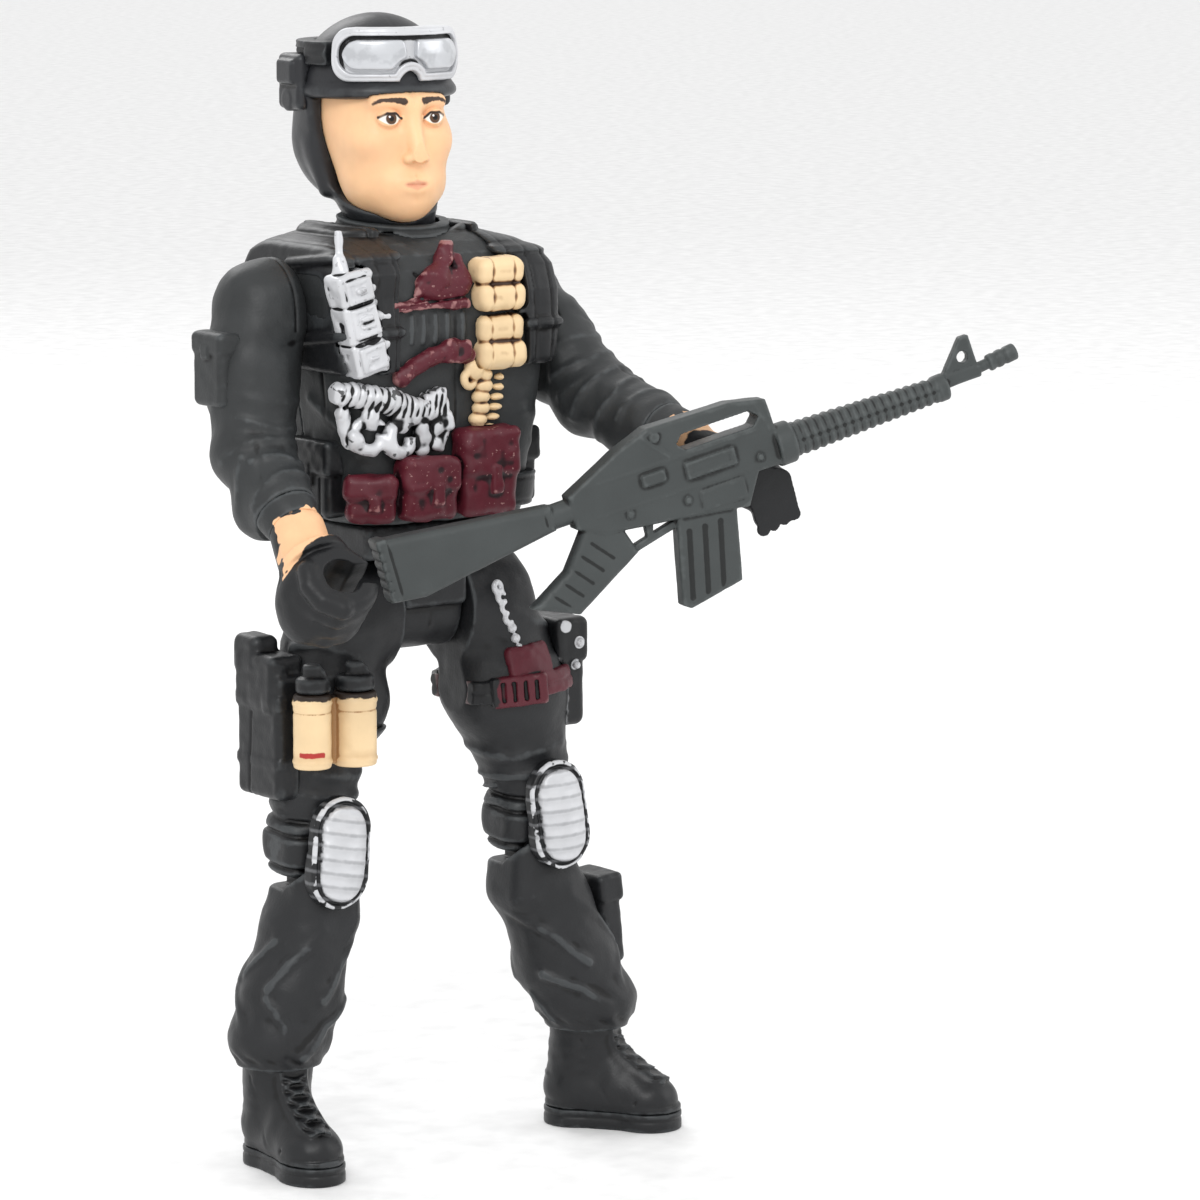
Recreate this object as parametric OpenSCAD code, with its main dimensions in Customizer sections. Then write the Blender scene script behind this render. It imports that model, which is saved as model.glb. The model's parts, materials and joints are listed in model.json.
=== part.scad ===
// Articulated toy soldier, 1:18 class, with a lift-out rifle.
// The figure faces -Y, its left side is +X and it stands on Z = 0.
// The row's origin is the mouth of the peg hole in the right foot's sole.

/* [Skeleton] */
// Height of the hip axis
hip_z = 47.2; // [46.8:0.1:47.6]
// Height of the knee pins
knee_z = 28; // [27.5:0.1:28.5]
// Height of the shoulder axis
shoulder_z = 74.5; // [74:0.1:75]
// Distance of each hip's inner face from the middle
hip_in = 3.5; // [3.3:0.1:3.7]
// Centre of the right knee, X and Y
right_knee = [-11, -2.3]; // [-15:0.1:0]
// Centre of the left knee, X and Y
left_knee = [11, -3.4]; // [-5:0.1:15]
// Centre of the right ankle, X and Y
right_ankle = [-14.4, -2.0]; // [-17:0.1:0]
// Centre of the left ankle, X and Y
left_ankle = [15.9, -5]; // [-6:0.1:17]
// Outward turn of the right foot
right_toe_out = 5; // [0:1:15]
// Outward turn of the left foot
left_toe_out = 38; // [25:1:45]

/* [Head] */
// Turn of the head, towards the figure's left
head_turn = -7; // [-20:1:20]
// Height of the top of the head
head_top = 98; // [97:0.1:98.5]
// Radius of the hood
hood_r = 6.2; // [6:0.1:6.4]

/* [Torso] */
// Half width at the waist
waist_w = 8.8; // [8.4:0.1:9.2]
// Half width at the chest
chest_w = 11.2; // [11:0.1:11.3]
// Wall of the torso shells
shell_t = 1.6; // [1.4:0.1:1.8]

/* [Hands] */
// Radius of the grip hole in the right hand
grip_r = 1.7; // [1.4:0.1:1.9]

/* [Rifle] */
// Middle of the butt plate
butt = [-11.7, -14.3, 52.9]; // [-20:0.1:60]
// Heading of the barrel, from +X towards the front
rifle_heading = 17.5; // [16:0.5:19]
// Rise of the barrel
rifle_rise = 16.3; // [15:0.1:18]
// Thickness of the receiver
receiver_t = 2.4; // [2:0.1:2.6]

/* [Feet] */
// Radius of the peg holes in the soles
peg_hole_r = 1.6; // [1.4:0.05:1.8]
// Depth of the peg holes
peg_hole_h = 4; // [3:0.5:5]

/* [Fits] */
// Radial clearance of every pin and peg
run = 0.05; // [0.03:0.01:0.1]
// Gap between parts that move past each other
gap = 0.3; // [0.2:0.05:0.4]

/* [Hidden] */

skin = [0.98, 0.8, 0.62];
charcoal = [0.13, 0.13, 0.14];
black = [0.06, 0.06, 0.07];
burgundy = [0.3, 0.07, 0.11];
tan_paint = [0.88, 0.76, 0.58];
silver = [0.78, 0.78, 0.8];
gunmetal = [0.27, 0.29, 0.29];
steel = [0.6, 0.6, 0.62];

RIGHT = -1;
LEFT = 1;
hug = 0.02;          // what a moulded detail stays clear of the surface that it sits on
hip_y = -1;
hip_r = 4.8;
hip_out = 10.3;
hip_pin_r = 1.1;
thigh_r = 5;
waist_z = 55;
waist_post_r = 2.2;
shoulder_y = 0.6;
shoulder_in = 11.5;  // inner face of each sleeve
right_shoulder_mid = [-15, 0.6, 74.5];
left_shoulder_mid = [14.1, 1.4, 74.1];
arm_r = 3.75;
shoulder_peg_r = 1.6;
neck_y = 1.3;
neck_post_r = 1.9;
neck_r = 3.7;
knee_r = 3.2;
knee_pin_r = 0.8;
tongue_t = 2.6;
sole_t = 1.6;
boot_top = 9;
head_x = -0.8;
head_y = 2.3;
goggle_z = 94.5;
wrist_peg_r = 1.1;

right_elbow = [-16.6, -2.2, 62];
right_wrist_at = [-16.9, -9.2, 56.4];
right_hand_at = [-16.5, -14.3, 51.2];
left_elbow = [15.3, -7, 65.2];
left_wrist_at = [16.5, -18.3, 62.2];
peg_hole_fwd = 2.4;  // how far each peg hole lies in front of its ankle
foot_hole = [right_ankle.x - peg_hole_fwd * sin(right_toe_out),
    right_ankle.y - peg_hole_fwd * cos(right_toe_out)];

elbow_r = 3.6;

function at(p, z) = [p.x, p.y, z];
function unit(v) = v / norm(v);

// ---- helpers ----

// Everything is drawn about the pelvis and moved to the row's origin here.
module placed() translate([-foot_hole.x, -foot_hole.y, 0]) children();

// Turns +Z onto a direction.
module along(from, to) {
    d = to - from;
    translate(from) rotate([0, acos(d.z / norm(d)), atan2(d.y, d.x)]) children();
}

// A cylinder along X, from one x to another.
module x_rod(x0, x1, y, z, r, fn = 48)
    translate([min(x0, x1), y, z]) rotate([0, 90, 0]) cylinder(h = abs(x1 - x0), r = r, $fn = fn);

// A rounded box, its size given about its middle.
module soft_box(size, r = 0.5) hull()
    for (x = [-1, 1], y = [-1, 1], z = [-1, 1])
        translate([x * (size.x / 2 - r), y * (size.y / 2 - r), z * (size.z / 2 - r)])
            sphere(r, $fn = 8);

// A limb segment between two balls.
module limb(a, ra, b, rb) hull() {
    translate(a) sphere(ra, $fn = 20);
    translate(b) sphere(rb, $fn = 20);
}

// One level of the torso: half width, front, back and corner radius.
module section(z, w, front, back, r, h = 0.1)
    translate([0, 0, z]) linear_extrude(h)
        offset(r = r, $fn = 24) translate([-w + r, front + r])
            square([2 * w - 2 * r, back - front - 2 * r]);

// The outside of the torso, grown by g.
module torso_solid(g = 0) hull() {
    section(waist_z + 0.5 - g, waist_w + g, -7.2 - g, 4.8 + g, 3.5);
    section(66, 10.3 + g, -7.8 - g, 6 + g, 3.5);
    section(76, chest_w + g, -7.4 - g, 6.3 + g, 3.5);
    section(80.4 + g, 6.5 + g, -3.6 - g, 4.6 + g, 3);
}

// The hollow inside the torso.
module torso_hollow() hull() {
    section(60, waist_w - shell_t, -5.6, 3.2, 2);
    section(77.3, chest_w - 2 * shell_t, -5.4, 4.4, 2);
}

// ---- head ----

module head_place() translate([head_x, head_y, 0]) rotate([0, 0, head_turn]) children();

// Skull, cheeks and chin, grown by g.
module head_solid(g = 0) hull() {
    translate([0, 0.3, 91.6]) sphere(5.1 + g, $fn = 28);
    translate([0, -1.6, 87.6]) scale([1, 1.15, 1]) sphere(4.7 + g, $fn = 28);
    translate([0, -4.3, 83.4]) sphere(2.2 + g, $fn = 20);
}

// The hood's outside, grown by g.
module hood_solid(g = 0) hull() {
    translate([0, 0.4, head_top - hood_r]) sphere(hood_r + g, $fn = 32);
    translate([0, 2.2, 88]) sphere(5.8 + g, $fn = 28);
}

module neck_bore() translate([0, neck_y, 0]) cylinder(h = 86, r = neck_post_r + run, $fn = 48);

module face() color(skin) difference() {
    head_place() head_solid();
    neck_bore();
}

module hood() color(black) difference() {
    union() {
        head_place() hood_solid();
        translate([0, neck_y, 80.6]) cylinder(h = 6, r = neck_r, $fn = 40);
    }
    head_place() head_solid(hug);
    // face opening
    head_place() translate([0, -8.2, 85.4]) cube([10.4, 10, 10.4], center = true);
    neck_bore();
}

module ear_cups() color(black) difference() {
    head_place() for (s = [RIGHT, LEFT])
        translate([s * 6.7, 2.4, 92.6]) soft_box([2.4, 4.2, 4.4], 0.6);
    head_place() hood_solid(hug);
}

// A band round the head, from angle a0 to a1, between two radii.
module head_band(a0, a1, r0, r1, z0, z1)
    translate([0, 0.4, z0]) rotate([0, 0, a0])
        rotate_extrude(angle = a1 - a0, $fn = 64) translate([r0, 0]) square([r1 - r0, z1 - z0]);

module goggle_frame() color(silver) difference() {
    head_place() head_band(205, 335, 4.4, 6.8, goggle_z - 2.1, goggle_z + 2.1);
    head_place() hood_solid(hug);
    head_place() for (s = [RIGHT, LEFT])
        lens_box(s, 4.6, 2.6);
}

module lens_box(side, w, h)
    translate([0, 0.4, goggle_z]) rotate([0, 0, side * 28]) translate([0, -6.8, 0])
        cube([w, 1.4, h], center = true);

module goggle_lens() color([0.7, 0.72, 0.74]) intersection() {
    head_place() head_band(205, 335, 6.32, 6.6, goggle_z - 2.1, goggle_z + 2.1);
    head_place() for (s = [RIGHT, LEFT])
        lens_box(s, 4.5, 2.5);
}

module goggle_strap() color(charcoal) difference() {
    head_place() head_band(-24.5, 204.5, 4.4, 6.6, goggle_z - 1, goggle_z + 1);
    head_place() hood_solid(hug);
    head_place() for (s = [RIGHT, LEFT])
        translate([s * 6.7, 2.4, 92.6]) cube([3, 4.4, 5], center = true);
}

// ---- torso ----

module torso_half(side) difference() {
    intersection() {
        torso_solid();
        translate([0, shoulder_y + side * (20 + 0.01), 68]) cube([60, 40, 60], center = true);
    }
    torso_hollow();
    x_rod(-20, 20, shoulder_y, shoulder_z, shoulder_peg_r + run);
    translate([0, neck_y, 70]) cylinder(h = 20, r = neck_post_r + hug, $fn = 48);
    translate([0, hip_y, 50]) cylinder(h = 12, r = waist_post_r + run, $fn = 48);
    translate([0, -6.2, 70]) rotate([-90, 0, 0]) cylinder(h = 12.6, r = 0.85, $fn = 32);
    translate([0, 4.6, 70]) rotate([-90, 0, 0]) cylinder(h = 4, r = 1.65, $fn = 32);
}

module torso_front() color(charcoal) torso_half(-1);
module torso_back() color(charcoal) torso_half(1);

module torso_screw() color(steel) {
    translate([0, -5.8, 70]) rotate([-90, 0, 0]) cylinder(h = 10.2, r = 0.8, $fn = 32);
    difference() {
        translate([0, 4.62, 70]) rotate([-90, 0, 0]) cylinder(h = 0.9, r = 1.5, $fn = 32);
        for (turn = [0, 90]) translate([0, 5.4, 70]) rotate([0, turn, 0])
            cube([1.9, 0.7, 0.4], center = true);
    }
}

// The post stands on a disc held in the torso's hollow.
module neck_post() color(black) translate([0, neck_y, 0]) {
    translate([0, 0, 76.9]) cylinder(h = 8.8, r = neck_post_r, $fn = 48);
    translate([0, 0, 75.9]) cylinder(h = 1.1, r = 2.8, $fn = 48);
}

module collar() color(black) difference() {
    translate([0, neck_y, 78.5]) cylinder(h = 2.4, r1 = 5.6, r2 = 5, $fn = 48);
    torso_solid(hug);
    translate([0, neck_y, 78]) cylinder(h = 6, r = neck_r + gap, $fn = 48);
}

module shoulder_straps() color(black) difference() {
    intersection() {
        torso_solid(0.9);
        for (s = [RIGHT, LEFT]) translate([s * 7.7, 0, 76.3]) cube([4.2, 30, 16], center = true);
    }
    torso_solid(hug);
    x_rod(-20, 20, shoulder_y, shoulder_z, shoulder_peg_r + run);
    chest_radio_solid(hug);
    for (p = chest_pouch_rows) chest_pouch(p, hug);
}

module chest_radio_solid(g = 0) translate([-8.9, -7.7, 73.2]) soft_box([3.8 + g, 2.6 + g, 9.6 + g], 0.4);

module chest_radio() color(silver) difference() {
    union() {
        chest_radio_solid();
        translate([-9.4, -7.6, 77.6]) rotate([-12, 4, 0]) cylinder(h = 3.6, r = 0.35, $fn = 16);
    }
    torso_solid(hug);
}

module belly_gear() color(silver) difference() {
    union() {
        translate([-7.9, -7.5, 64.8]) soft_box([5.4, 2.4, 5.6], 0.6);
        translate([-3.2, -7.8, 64.6]) soft_box([4.2, 2.2, 4.2], 0.6);
        for (x = [-5.8, -2.4]) translate([x, -8.9, 63.6]) rotate([90, 0, 0])
            rotate_extrude($fn = 32) translate([1.2, 0]) circle(0.4, $fn = 16);
    }
    torso_solid(hug);
}

module upper_chest_strap() color(burgundy) difference() {
    translate([-1.9, -7.6, 74.4]) soft_box([7.2, 1.4, 1.7], 0.3);
    torso_solid(hug);
    for (p = chest_pouch_rows) chest_pouch(p, hug);
    chest_radio_solid(hug);
}

module lower_chest_strap() color(burgundy) difference() {
    translate([-2, -7.9, 69.6]) rotate([0, -22, 0]) soft_box([7.4, 1.4, 1.7], 0.3);
    torso_solid(hug);
    for (p = chest_pouch_rows) chest_pouch(p, hug);
}

chest_pouch_rows = [76, 71];
module chest_pouch(z, g = 0) for (x = [3.1, 5.9])
    translate([x, -8.1, z]) soft_box([2.7 + g, 2.8 + g, 4.4 + g], 0.7);

module chest_pouches() color(tan_paint) difference() {
    for (z = chest_pouch_rows) chest_pouch(z);
    torso_solid(hug);
}

module tan_cord_bundle() color(tan_paint) difference() {
    translate([2.4, -8, 65.8]) rotate([0, 8, 0]) soft_box([2, 1.8, 5.6], 0.6);
    torso_solid(hug);
    for (z = chest_pouch_rows) chest_pouch(z, hug);
}

module belt() color(black) difference() {
    intersection() {
        torso_solid(0.7);
        translate([0, 0, 57.7]) cube([40, 40, 3], center = true);
    }
    torso_solid(hug);
    for (i = [0:2]) belt_pouch(i, hug);
    side_pouch(RIGHT, hug);
    side_pouch(LEFT, hug);
}

// Middle and size of each belt pouch, from the right; the first sits on the corner.
belt_pouch_at = [[-8, -7.2, -35], [-3.2, -8.6, 0], [2.8, -8.6, 0]];
belt_pouch_size = [[4.6, 2.8, 4.6], [5.6, 2.8, 5.9], [5.6, 2.8, 6.6]];
module belt_pouch(i, g = 0)
    translate([belt_pouch_at[i].x, belt_pouch_at[i].y, 55.9 + belt_pouch_size[i].z / 2])
        rotate([0, 0, belt_pouch_at[i].z]) soft_box(belt_pouch_size[i] + [g, g, g], 0.6);

module belt_pouches() color(burgundy) difference() {
    for (i = [0:2]) belt_pouch(i);
    torso_solid(hug);
}

module side_pouch(side, g = 0)
    translate([side * 9.6, -1.8, 59.4]) soft_box([3 + g, 6.6 + g, 6.6 + g], 0.7);

module side_pouches() color(black) difference() {
    for (s = [RIGHT, LEFT]) side_pouch(s);
    torso_solid(hug);
}

// ---- arms ----

module shoulder_peg(side) {
    x_rod(side * 9.2, side * 15, shoulder_y, shoulder_z, shoulder_peg_r);
    x_rod(side * 6.6, side * 7.6, shoulder_y, shoulder_z, 2.5);
    x_rod(side * 7.5, side * 9.3, shoulder_y, shoulder_z, shoulder_peg_r);
}

module right_shoulder_peg() color(steel) shoulder_peg(RIGHT);
module left_shoulder_peg() color(steel) shoulder_peg(LEFT);

// A bent arm, cut flat where it meets the torso and where the wrist starts.
module sleeve(side, shoulder, elbow, wrist) {
    difference() {
        union() {
            hull() {
                x_rod(side * shoulder_in, side * 12.8, shoulder_y, shoulder_z, 4.1, 32);
                translate(shoulder) sphere(arm_r, $fn = 24);
            }
            limb(shoulder, arm_r, elbow, elbow_r);
            limb(elbow, elbow_r, elbow + 0.72 * (wrist - elbow), 3.1);
        }
        translate([side * (shoulder_in - 10), 0, shoulder_z]) cube([20, 30, 60], center = true);
        x_rod(side * 10, side * 15.02, shoulder_y, shoulder_z, shoulder_peg_r + hug);
        along(elbow + 0.8 * (wrist - elbow), wrist) cylinder(h = 12, r = 8, $fn = 32);
    }
}

module right_sleeve() color(charcoal) sleeve(RIGHT, right_shoulder_mid, right_elbow, right_wrist_at);
module left_sleeve() color(charcoal) sleeve(LEFT, left_shoulder_mid, left_elbow, left_wrist_at);

module sleeve_pocket() color(charcoal) difference() {
    translate([-18.9, -0.4, 68.4]) soft_box([2, 4.6, 6.2], 0.5);
    limb(right_shoulder_mid, arm_r + hug, right_elbow, elbow_r + hug);
}

// Bare wrist between sleeve and glove, with a socket for the hand's peg.
module wrist(elbow, wrist) {
    a = elbow + 0.8 * (wrist - elbow);
    difference() {
        along(a, wrist) translate([0, 0, hug]) cylinder(h = norm(wrist - a), r1 = 2.7, r2 = 2.3, $fn = 40);
        along(wrist, a) translate([0, 0, -1]) cylinder(h = 2.8, r = wrist_peg_r + run, $fn = 32);
    }
}

module right_wrist() color(skin) wrist(right_elbow, right_wrist_at);
module left_wrist() color(skin) wrist(left_elbow, left_wrist_at);

module wrist_peg(elbow, wrist) along(wrist, elbow) translate([0, 0, -1.6])
    cylinder(h = 1.6 + 1.6, r = wrist_peg_r, $fn = 32);

// Open C of the right hand: the hole runs forwards and up, the opening faces the rifle's butt.
hole_dir = [-0.12, -0.75, 0.65];
module right_glove() color(black) difference() {
    union() {
        along(right_hand_at - 3.3 * unit(hole_dir), right_hand_at) cylinder(h = 6.6, r = 3.7, $fn = 32);
        hull() {
            along(right_wrist_at, right_elbow) translate([0, 0, -1]) cylinder(h = 0.9, r = 2.5, $fn = 28);
            translate(right_hand_at + [-1.2, 1, 1]) sphere(2.6, $fn = 20);
        }
        wrist_peg(right_elbow, right_wrist_at);
    }
    along(right_hand_at - 9 * unit(hole_dir), right_hand_at) cylinder(h = 20, r = grip_r, $fn = 48);
    translate(right_hand_at + [3, 0, 0]) rotate([49, 0, 0]) cube([6, 1.9, 20], center = true);
    translate([butt.x + 9.6, -14, 51]) cube([20, 20, 20], center = true);
}

module rifle_place() translate(butt) rotate([0, 0, -rifle_heading]) rotate([0, -rifle_rise, 0]) children();

// Fist under the front of the receiver, palm and thumb behind it.
module left_glove() color(black) difference() {
    union() {
        rifle_place() translate([35.2, 0.9, -5.8]) soft_box([4.2, 5.4, 5.4], 1.2);
        rifle_place() translate([34.6, 3.3, -2.6]) soft_box([4.4, 2.6, 7], 1);
        hull() {
            along(left_wrist_at, left_elbow) translate([0, 0, -1]) cylinder(h = 0.9, r = 2.4, $fn = 28);
            rifle_place() translate([34.2, 3.6, -2.2]) sphere(1.9, $fn = 20);
        }
        wrist_peg(left_elbow, left_wrist_at);
    }
    // room for the rifle to lift straight out
    translate(butt) rotate([0, 0, -rifle_heading]) translate([0, -3, -20])
        cube([60, 3 + receiver_t / 2 + 0.65, 60]);
}

// ---- pelvis ----

module pelvis_block() color(charcoal) difference() {
    union() {
        hull() {
            x_rod(-hip_in + gap, hip_in - gap, hip_y, hip_z, 3.4, 32);
            translate([0, hip_y, 52.6]) cube([2 * (hip_in - gap), 9, 0.8], center = true);
        }
        translate([0, hip_y, 53.5]) linear_extrude(2.2, center = true)
            offset(r = 3, $fn = 24) square([10, 5], center = true);
    }
    x_rod(-20, 20, hip_y, hip_z, hip_pin_r + run);
    translate([0, hip_y, 51]) cylinder(h = 10, r = waist_post_r + hug, $fn = 48);
}

module waist_post() color(black) translate([0, hip_y, 0]) {
    translate([0, 0, 51.1]) cylinder(h = 9.4, r = waist_post_r, $fn = 48);
    translate([0, 0, 60.4]) cylinder(h = 1, r = 2.9, $fn = 48);
}

module hip_pin() color(steel) x_rod(-8.6, 8.6, hip_y, hip_z, hip_pin_r);

// ---- legs ----

// Upper half of a thigh, grown by g.
module thigh_core(side, g = hug) hull() {
    x_rod(side * hip_in, side * hip_out, hip_y, hip_z, hip_r + g, 32);
    thigh_middle(side, g);
}

// Lower half of a thigh, grown by g.
module thigh_lower(side, knee, g = hug) hull() {
    thigh_middle(side, g);
    x_rod(knee.x - 3.4, knee.x + 3.4, knee.y, knee_z, knee_r + g, 32);
}

module thigh_middle(side, g) translate([side * 9.5, hip_y - 1, hip_z - 8]) sphere(thigh_r + g, $fn = 24);

module thigh(side, knee) difference() {
    union() {
        thigh_core(side, 0);
        thigh_lower(side, knee, 0);
    }
    translate(at(knee, knee_z)) cube([tongue_t + 0.2, 12, 6.9], center = true);
    x_rod(knee.x - 8, knee.x + 8, knee.y, knee_z, knee_pin_r + run);
    x_rod(side * (hip_in - 2), side * 8.7, hip_y, hip_z, hip_pin_r + run);
    // flat inner side, clear of the pelvis
    translate([side * (hip_in - 10), 0, hip_z]) cube([20, 30, 60], center = true);
}

module right_thigh() color(charcoal) thigh(RIGHT, right_knee);
module left_thigh() color(charcoal) thigh(LEFT, left_knee);

module holster_body(g = 0) translate([-14.3, -1.2, 38.6]) soft_box([3.6 + g, 7.4 + g, 12.6 + g], 0.8);

module holster() color(black) difference() {
    union() {
        holster_body();
        translate([-14.6, 0.6, 44]) soft_box([3, 4.4, 3.2], 0.9);
    }
    thigh_core(RIGHT);
    thigh_lower(RIGHT, right_knee);
}

canister_x = [-13, -9.6];
module canisters() color(tan_paint) difference() {
    for (x = canister_x) translate([x, -7.6, 35.4]) cylinder(h = 6.4, r = 1.65, $fn = 32);
    thigh_core(RIGHT);
    thigh_lower(RIGHT, right_knee);
    holster_body(hug);
}

module canister_caps() color(black) difference() {
    for (x = canister_x) {
        translate([x, -7.6, 41.8 + hug]) cylinder(h = 1.6, r = 1.4, $fn = 32);
        translate([x, -7.6, 43.3]) cylinder(h = 0.9, r = 0.8, $fn = 24);
    }
    thigh_core(RIGHT);
    holster_body(hug);
}

module right_thigh_strap() color(black) difference() {
    intersection() {
        thigh_lower(RIGHT, right_knee, 0.7);
        translate([-10, 0, 37]) cube([30, 30, 1.8], center = true);
    }
    thigh_lower(RIGHT, right_knee);
    thigh_core(RIGHT);
    holster_body(hug);
    for (x = canister_x) translate([x, -7.6, 35.4]) cylinder(h = 6.4, r = 1.67, $fn = 32);
}

module left_strap_slab(h) translate([10, 0, 40.8]) rotate([0, -8, 0]) cube([30, 30, h], center = true);

module left_thigh_strap() color(burgundy) difference() {
    union() {
        intersection() {
            thigh_core(LEFT, 0.7);
            left_strap_slab(2.8);
        }
        translate([9.4, -7.3, 40.6]) rotate([0, -8, 0]) soft_box([5.4, 1.6, 3.4], 0.3);
    }
    thigh_core(LEFT);
    thigh_lower(LEFT, left_knee);
    thigh_pouch_solid(hug);
    translate([LEFT * (hip_in - 10), 0, hip_z]) cube([20, 30, 60], center = true);
}

module thigh_pouch_solid(g = 0) translate([14, -2.6, 40.8]) soft_box([3.4 + g, 6.4 + g, 9.6 + g], 0.8);

module thigh_pouch() color(black) difference() {
    thigh_pouch_solid();
    thigh_core(LEFT);
    thigh_lower(LEFT, left_knee);
}

// A slack run of beads down the front of the left hip.
chain_beads = 7;
module hip_chain() color(silver) difference() {
    for (i = [0:chain_beads - 1])
        translate([5.4 + 0.55 * i, -5.4 - 0.28 * i, 49 - 0.85 * i]) sphere(0.5, $fn = 14);
    thigh_core(LEFT);
    left_strap_slab(2.9);
}

module knee_pin(knee) x_rod(knee.x - 3.5, knee.x + 3.5, knee.y, knee_z, knee_pin_r);

module right_knee_pin() color(steel) knee_pin(right_knee);
module left_knee_pin() color(steel) knee_pin(left_knee);

shin_top = 3.75;     // distance of the shin's shoulder below the knee pin
module calf_solid(knee, ankle, g = 0) {
    belly = [knee.x + 0.62 * (ankle.x - knee.x), knee.y + 0.5 * (ankle.y - knee.y), 15.2];
    hull() {
        translate([knee.x, knee.y - 0.35, knee_z - shin_top - 0.4]) linear_extrude(0.4)
            offset(r = 1.8 + g, $fn = 24) square([3.2, 2.1], center = true);
        translate(belly) sphere(4.7 + g, $fn = 24);
    }
    hull() {
        translate(belly) sphere(4.7 + g, $fn = 24);
        translate(at(ankle, boot_top)) cylinder(h = 1, r = 3.9 + g, $fn = 28);
    }
}

module calf(knee, ankle) difference() {
    union() {
        calf_solid(knee, ankle);
        x_rod(knee.x - tongue_t / 2, knee.x + tongue_t / 2, knee.y, knee_z, 2.9, 40);
        translate([knee.x, knee.y, knee_z - 2.2]) cube([tongue_t, 4.4, 4.4], center = true);
    }
    x_rod(knee.x - 4, knee.x + 4, knee.y, knee_z, knee_pin_r + run);
    translate([ankle.x, ankle.y, boot_top - 10]) cube([20, 20, 20], center = true);
}

module right_calf() color(charcoal) calf(right_knee, right_ankle);
module left_calf() color(charcoal) calf(left_knee, left_ankle);

// A domed pad in front of the knee, carried by the shin.
module knee_pad(knee, ankle, z) difference() {
    hull() {
        for (dz = [-2.3, 2.3])
            translate([knee.x, knee.y - 4.3, z + dz]) rotate([90, 0, 0])
                cylinder(h = 1.4, r1 = 2.8, r2 = 2.1, $fn = 28);
    }
    x_rod(knee.x - 6, knee.x + 6, knee.y, knee_z, knee_r + 0.8, 48);
    calf_solid(knee, ankle, hug);
    // room for the thigh above the joint
    hull() {
        translate([knee.x, knee.y, knee_z]) cube([9, 7.4, 0.1], center = true);
        translate([knee.x, knee.y, knee_z + 8]) cube([9, 9.2, 0.1], center = true);
    }
}

module right_knee_pad() color(silver) knee_pad(right_knee, right_ankle, knee_z - 0.2);
module left_knee_pad() color(silver) knee_pad(left_knee, left_ankle, knee_z + 0.8);

module calf_pouch() color(charcoal) difference() {
    translate([18, -4, 18.4]) rotate([0, -6, 0]) soft_box([2.6, 5, 8.4], 0.7);
    calf_solid(left_knee, left_ankle, hug);
}

module foot_place(ankle, toe_out) translate([ankle.x, ankle.y, 0]) rotate([0, 0, toe_out]) children();

module foot_hole_cut() translate([0, -peg_hole_fwd, -1])
    cylinder(h = 1 + peg_hole_h, r = peg_hole_r, $fn = 48);

// Boot in its own frame: the ankle at the origin, the toe towards -Y.
module boot(ankle, toe_out) foot_place(ankle, toe_out) difference() {
    union() {
        hull() {
            translate([0, 0, boot_top - 1 - hug]) cylinder(h = 1, r = 3.3, $fn = 32);
            translate([0, 1.2, sole_t + hug]) cylinder(h = 2, r = 2.8, $fn = 32);
            translate([0, -2.4, sole_t + hug]) cylinder(h = 3.4, r = 2.6, $fn = 32);
        }
        hull() {
            translate([0, 1.2, sole_t + hug]) cylinder(h = 2, r = 2.8, $fn = 32);
            translate([0, -5.6, sole_t + 1.3]) sphere(2.5, $fn = 24);
            translate([0, -2.4, sole_t + 2]) sphere(2.6, $fn = 24);
        }
    }
    translate([0, 0, sole_t + hug - 10]) cube([30, 40, 20], center = true);
    foot_hole_cut();
}

module right_boot() color(black) boot(right_ankle, -right_toe_out);
module left_boot() color(black) boot(left_ankle, left_toe_out);

module sole(ankle, toe_out) foot_place(ankle, toe_out) difference() {
    linear_extrude(sole_t) union() {
        translate([0, 1.3]) circle(2.9, $fn = 40);
        translate([0, -5.7]) circle(3.0, $fn = 40);
        translate([-2.75, -5.7]) square([5.5, 7]);
    }
    foot_hole_cut();
}

module right_sole() color(black) sole(right_ankle, -right_toe_out);
module left_sole() color(black) sole(left_ankle, left_toe_out);

// ---- rifle ----

// A flat piece of the rifle, drawn in its side view: X along the barrel, Y up.
module slab(t) rotate([90, 0, 0]) linear_extrude(t, center = true) children();

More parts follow.
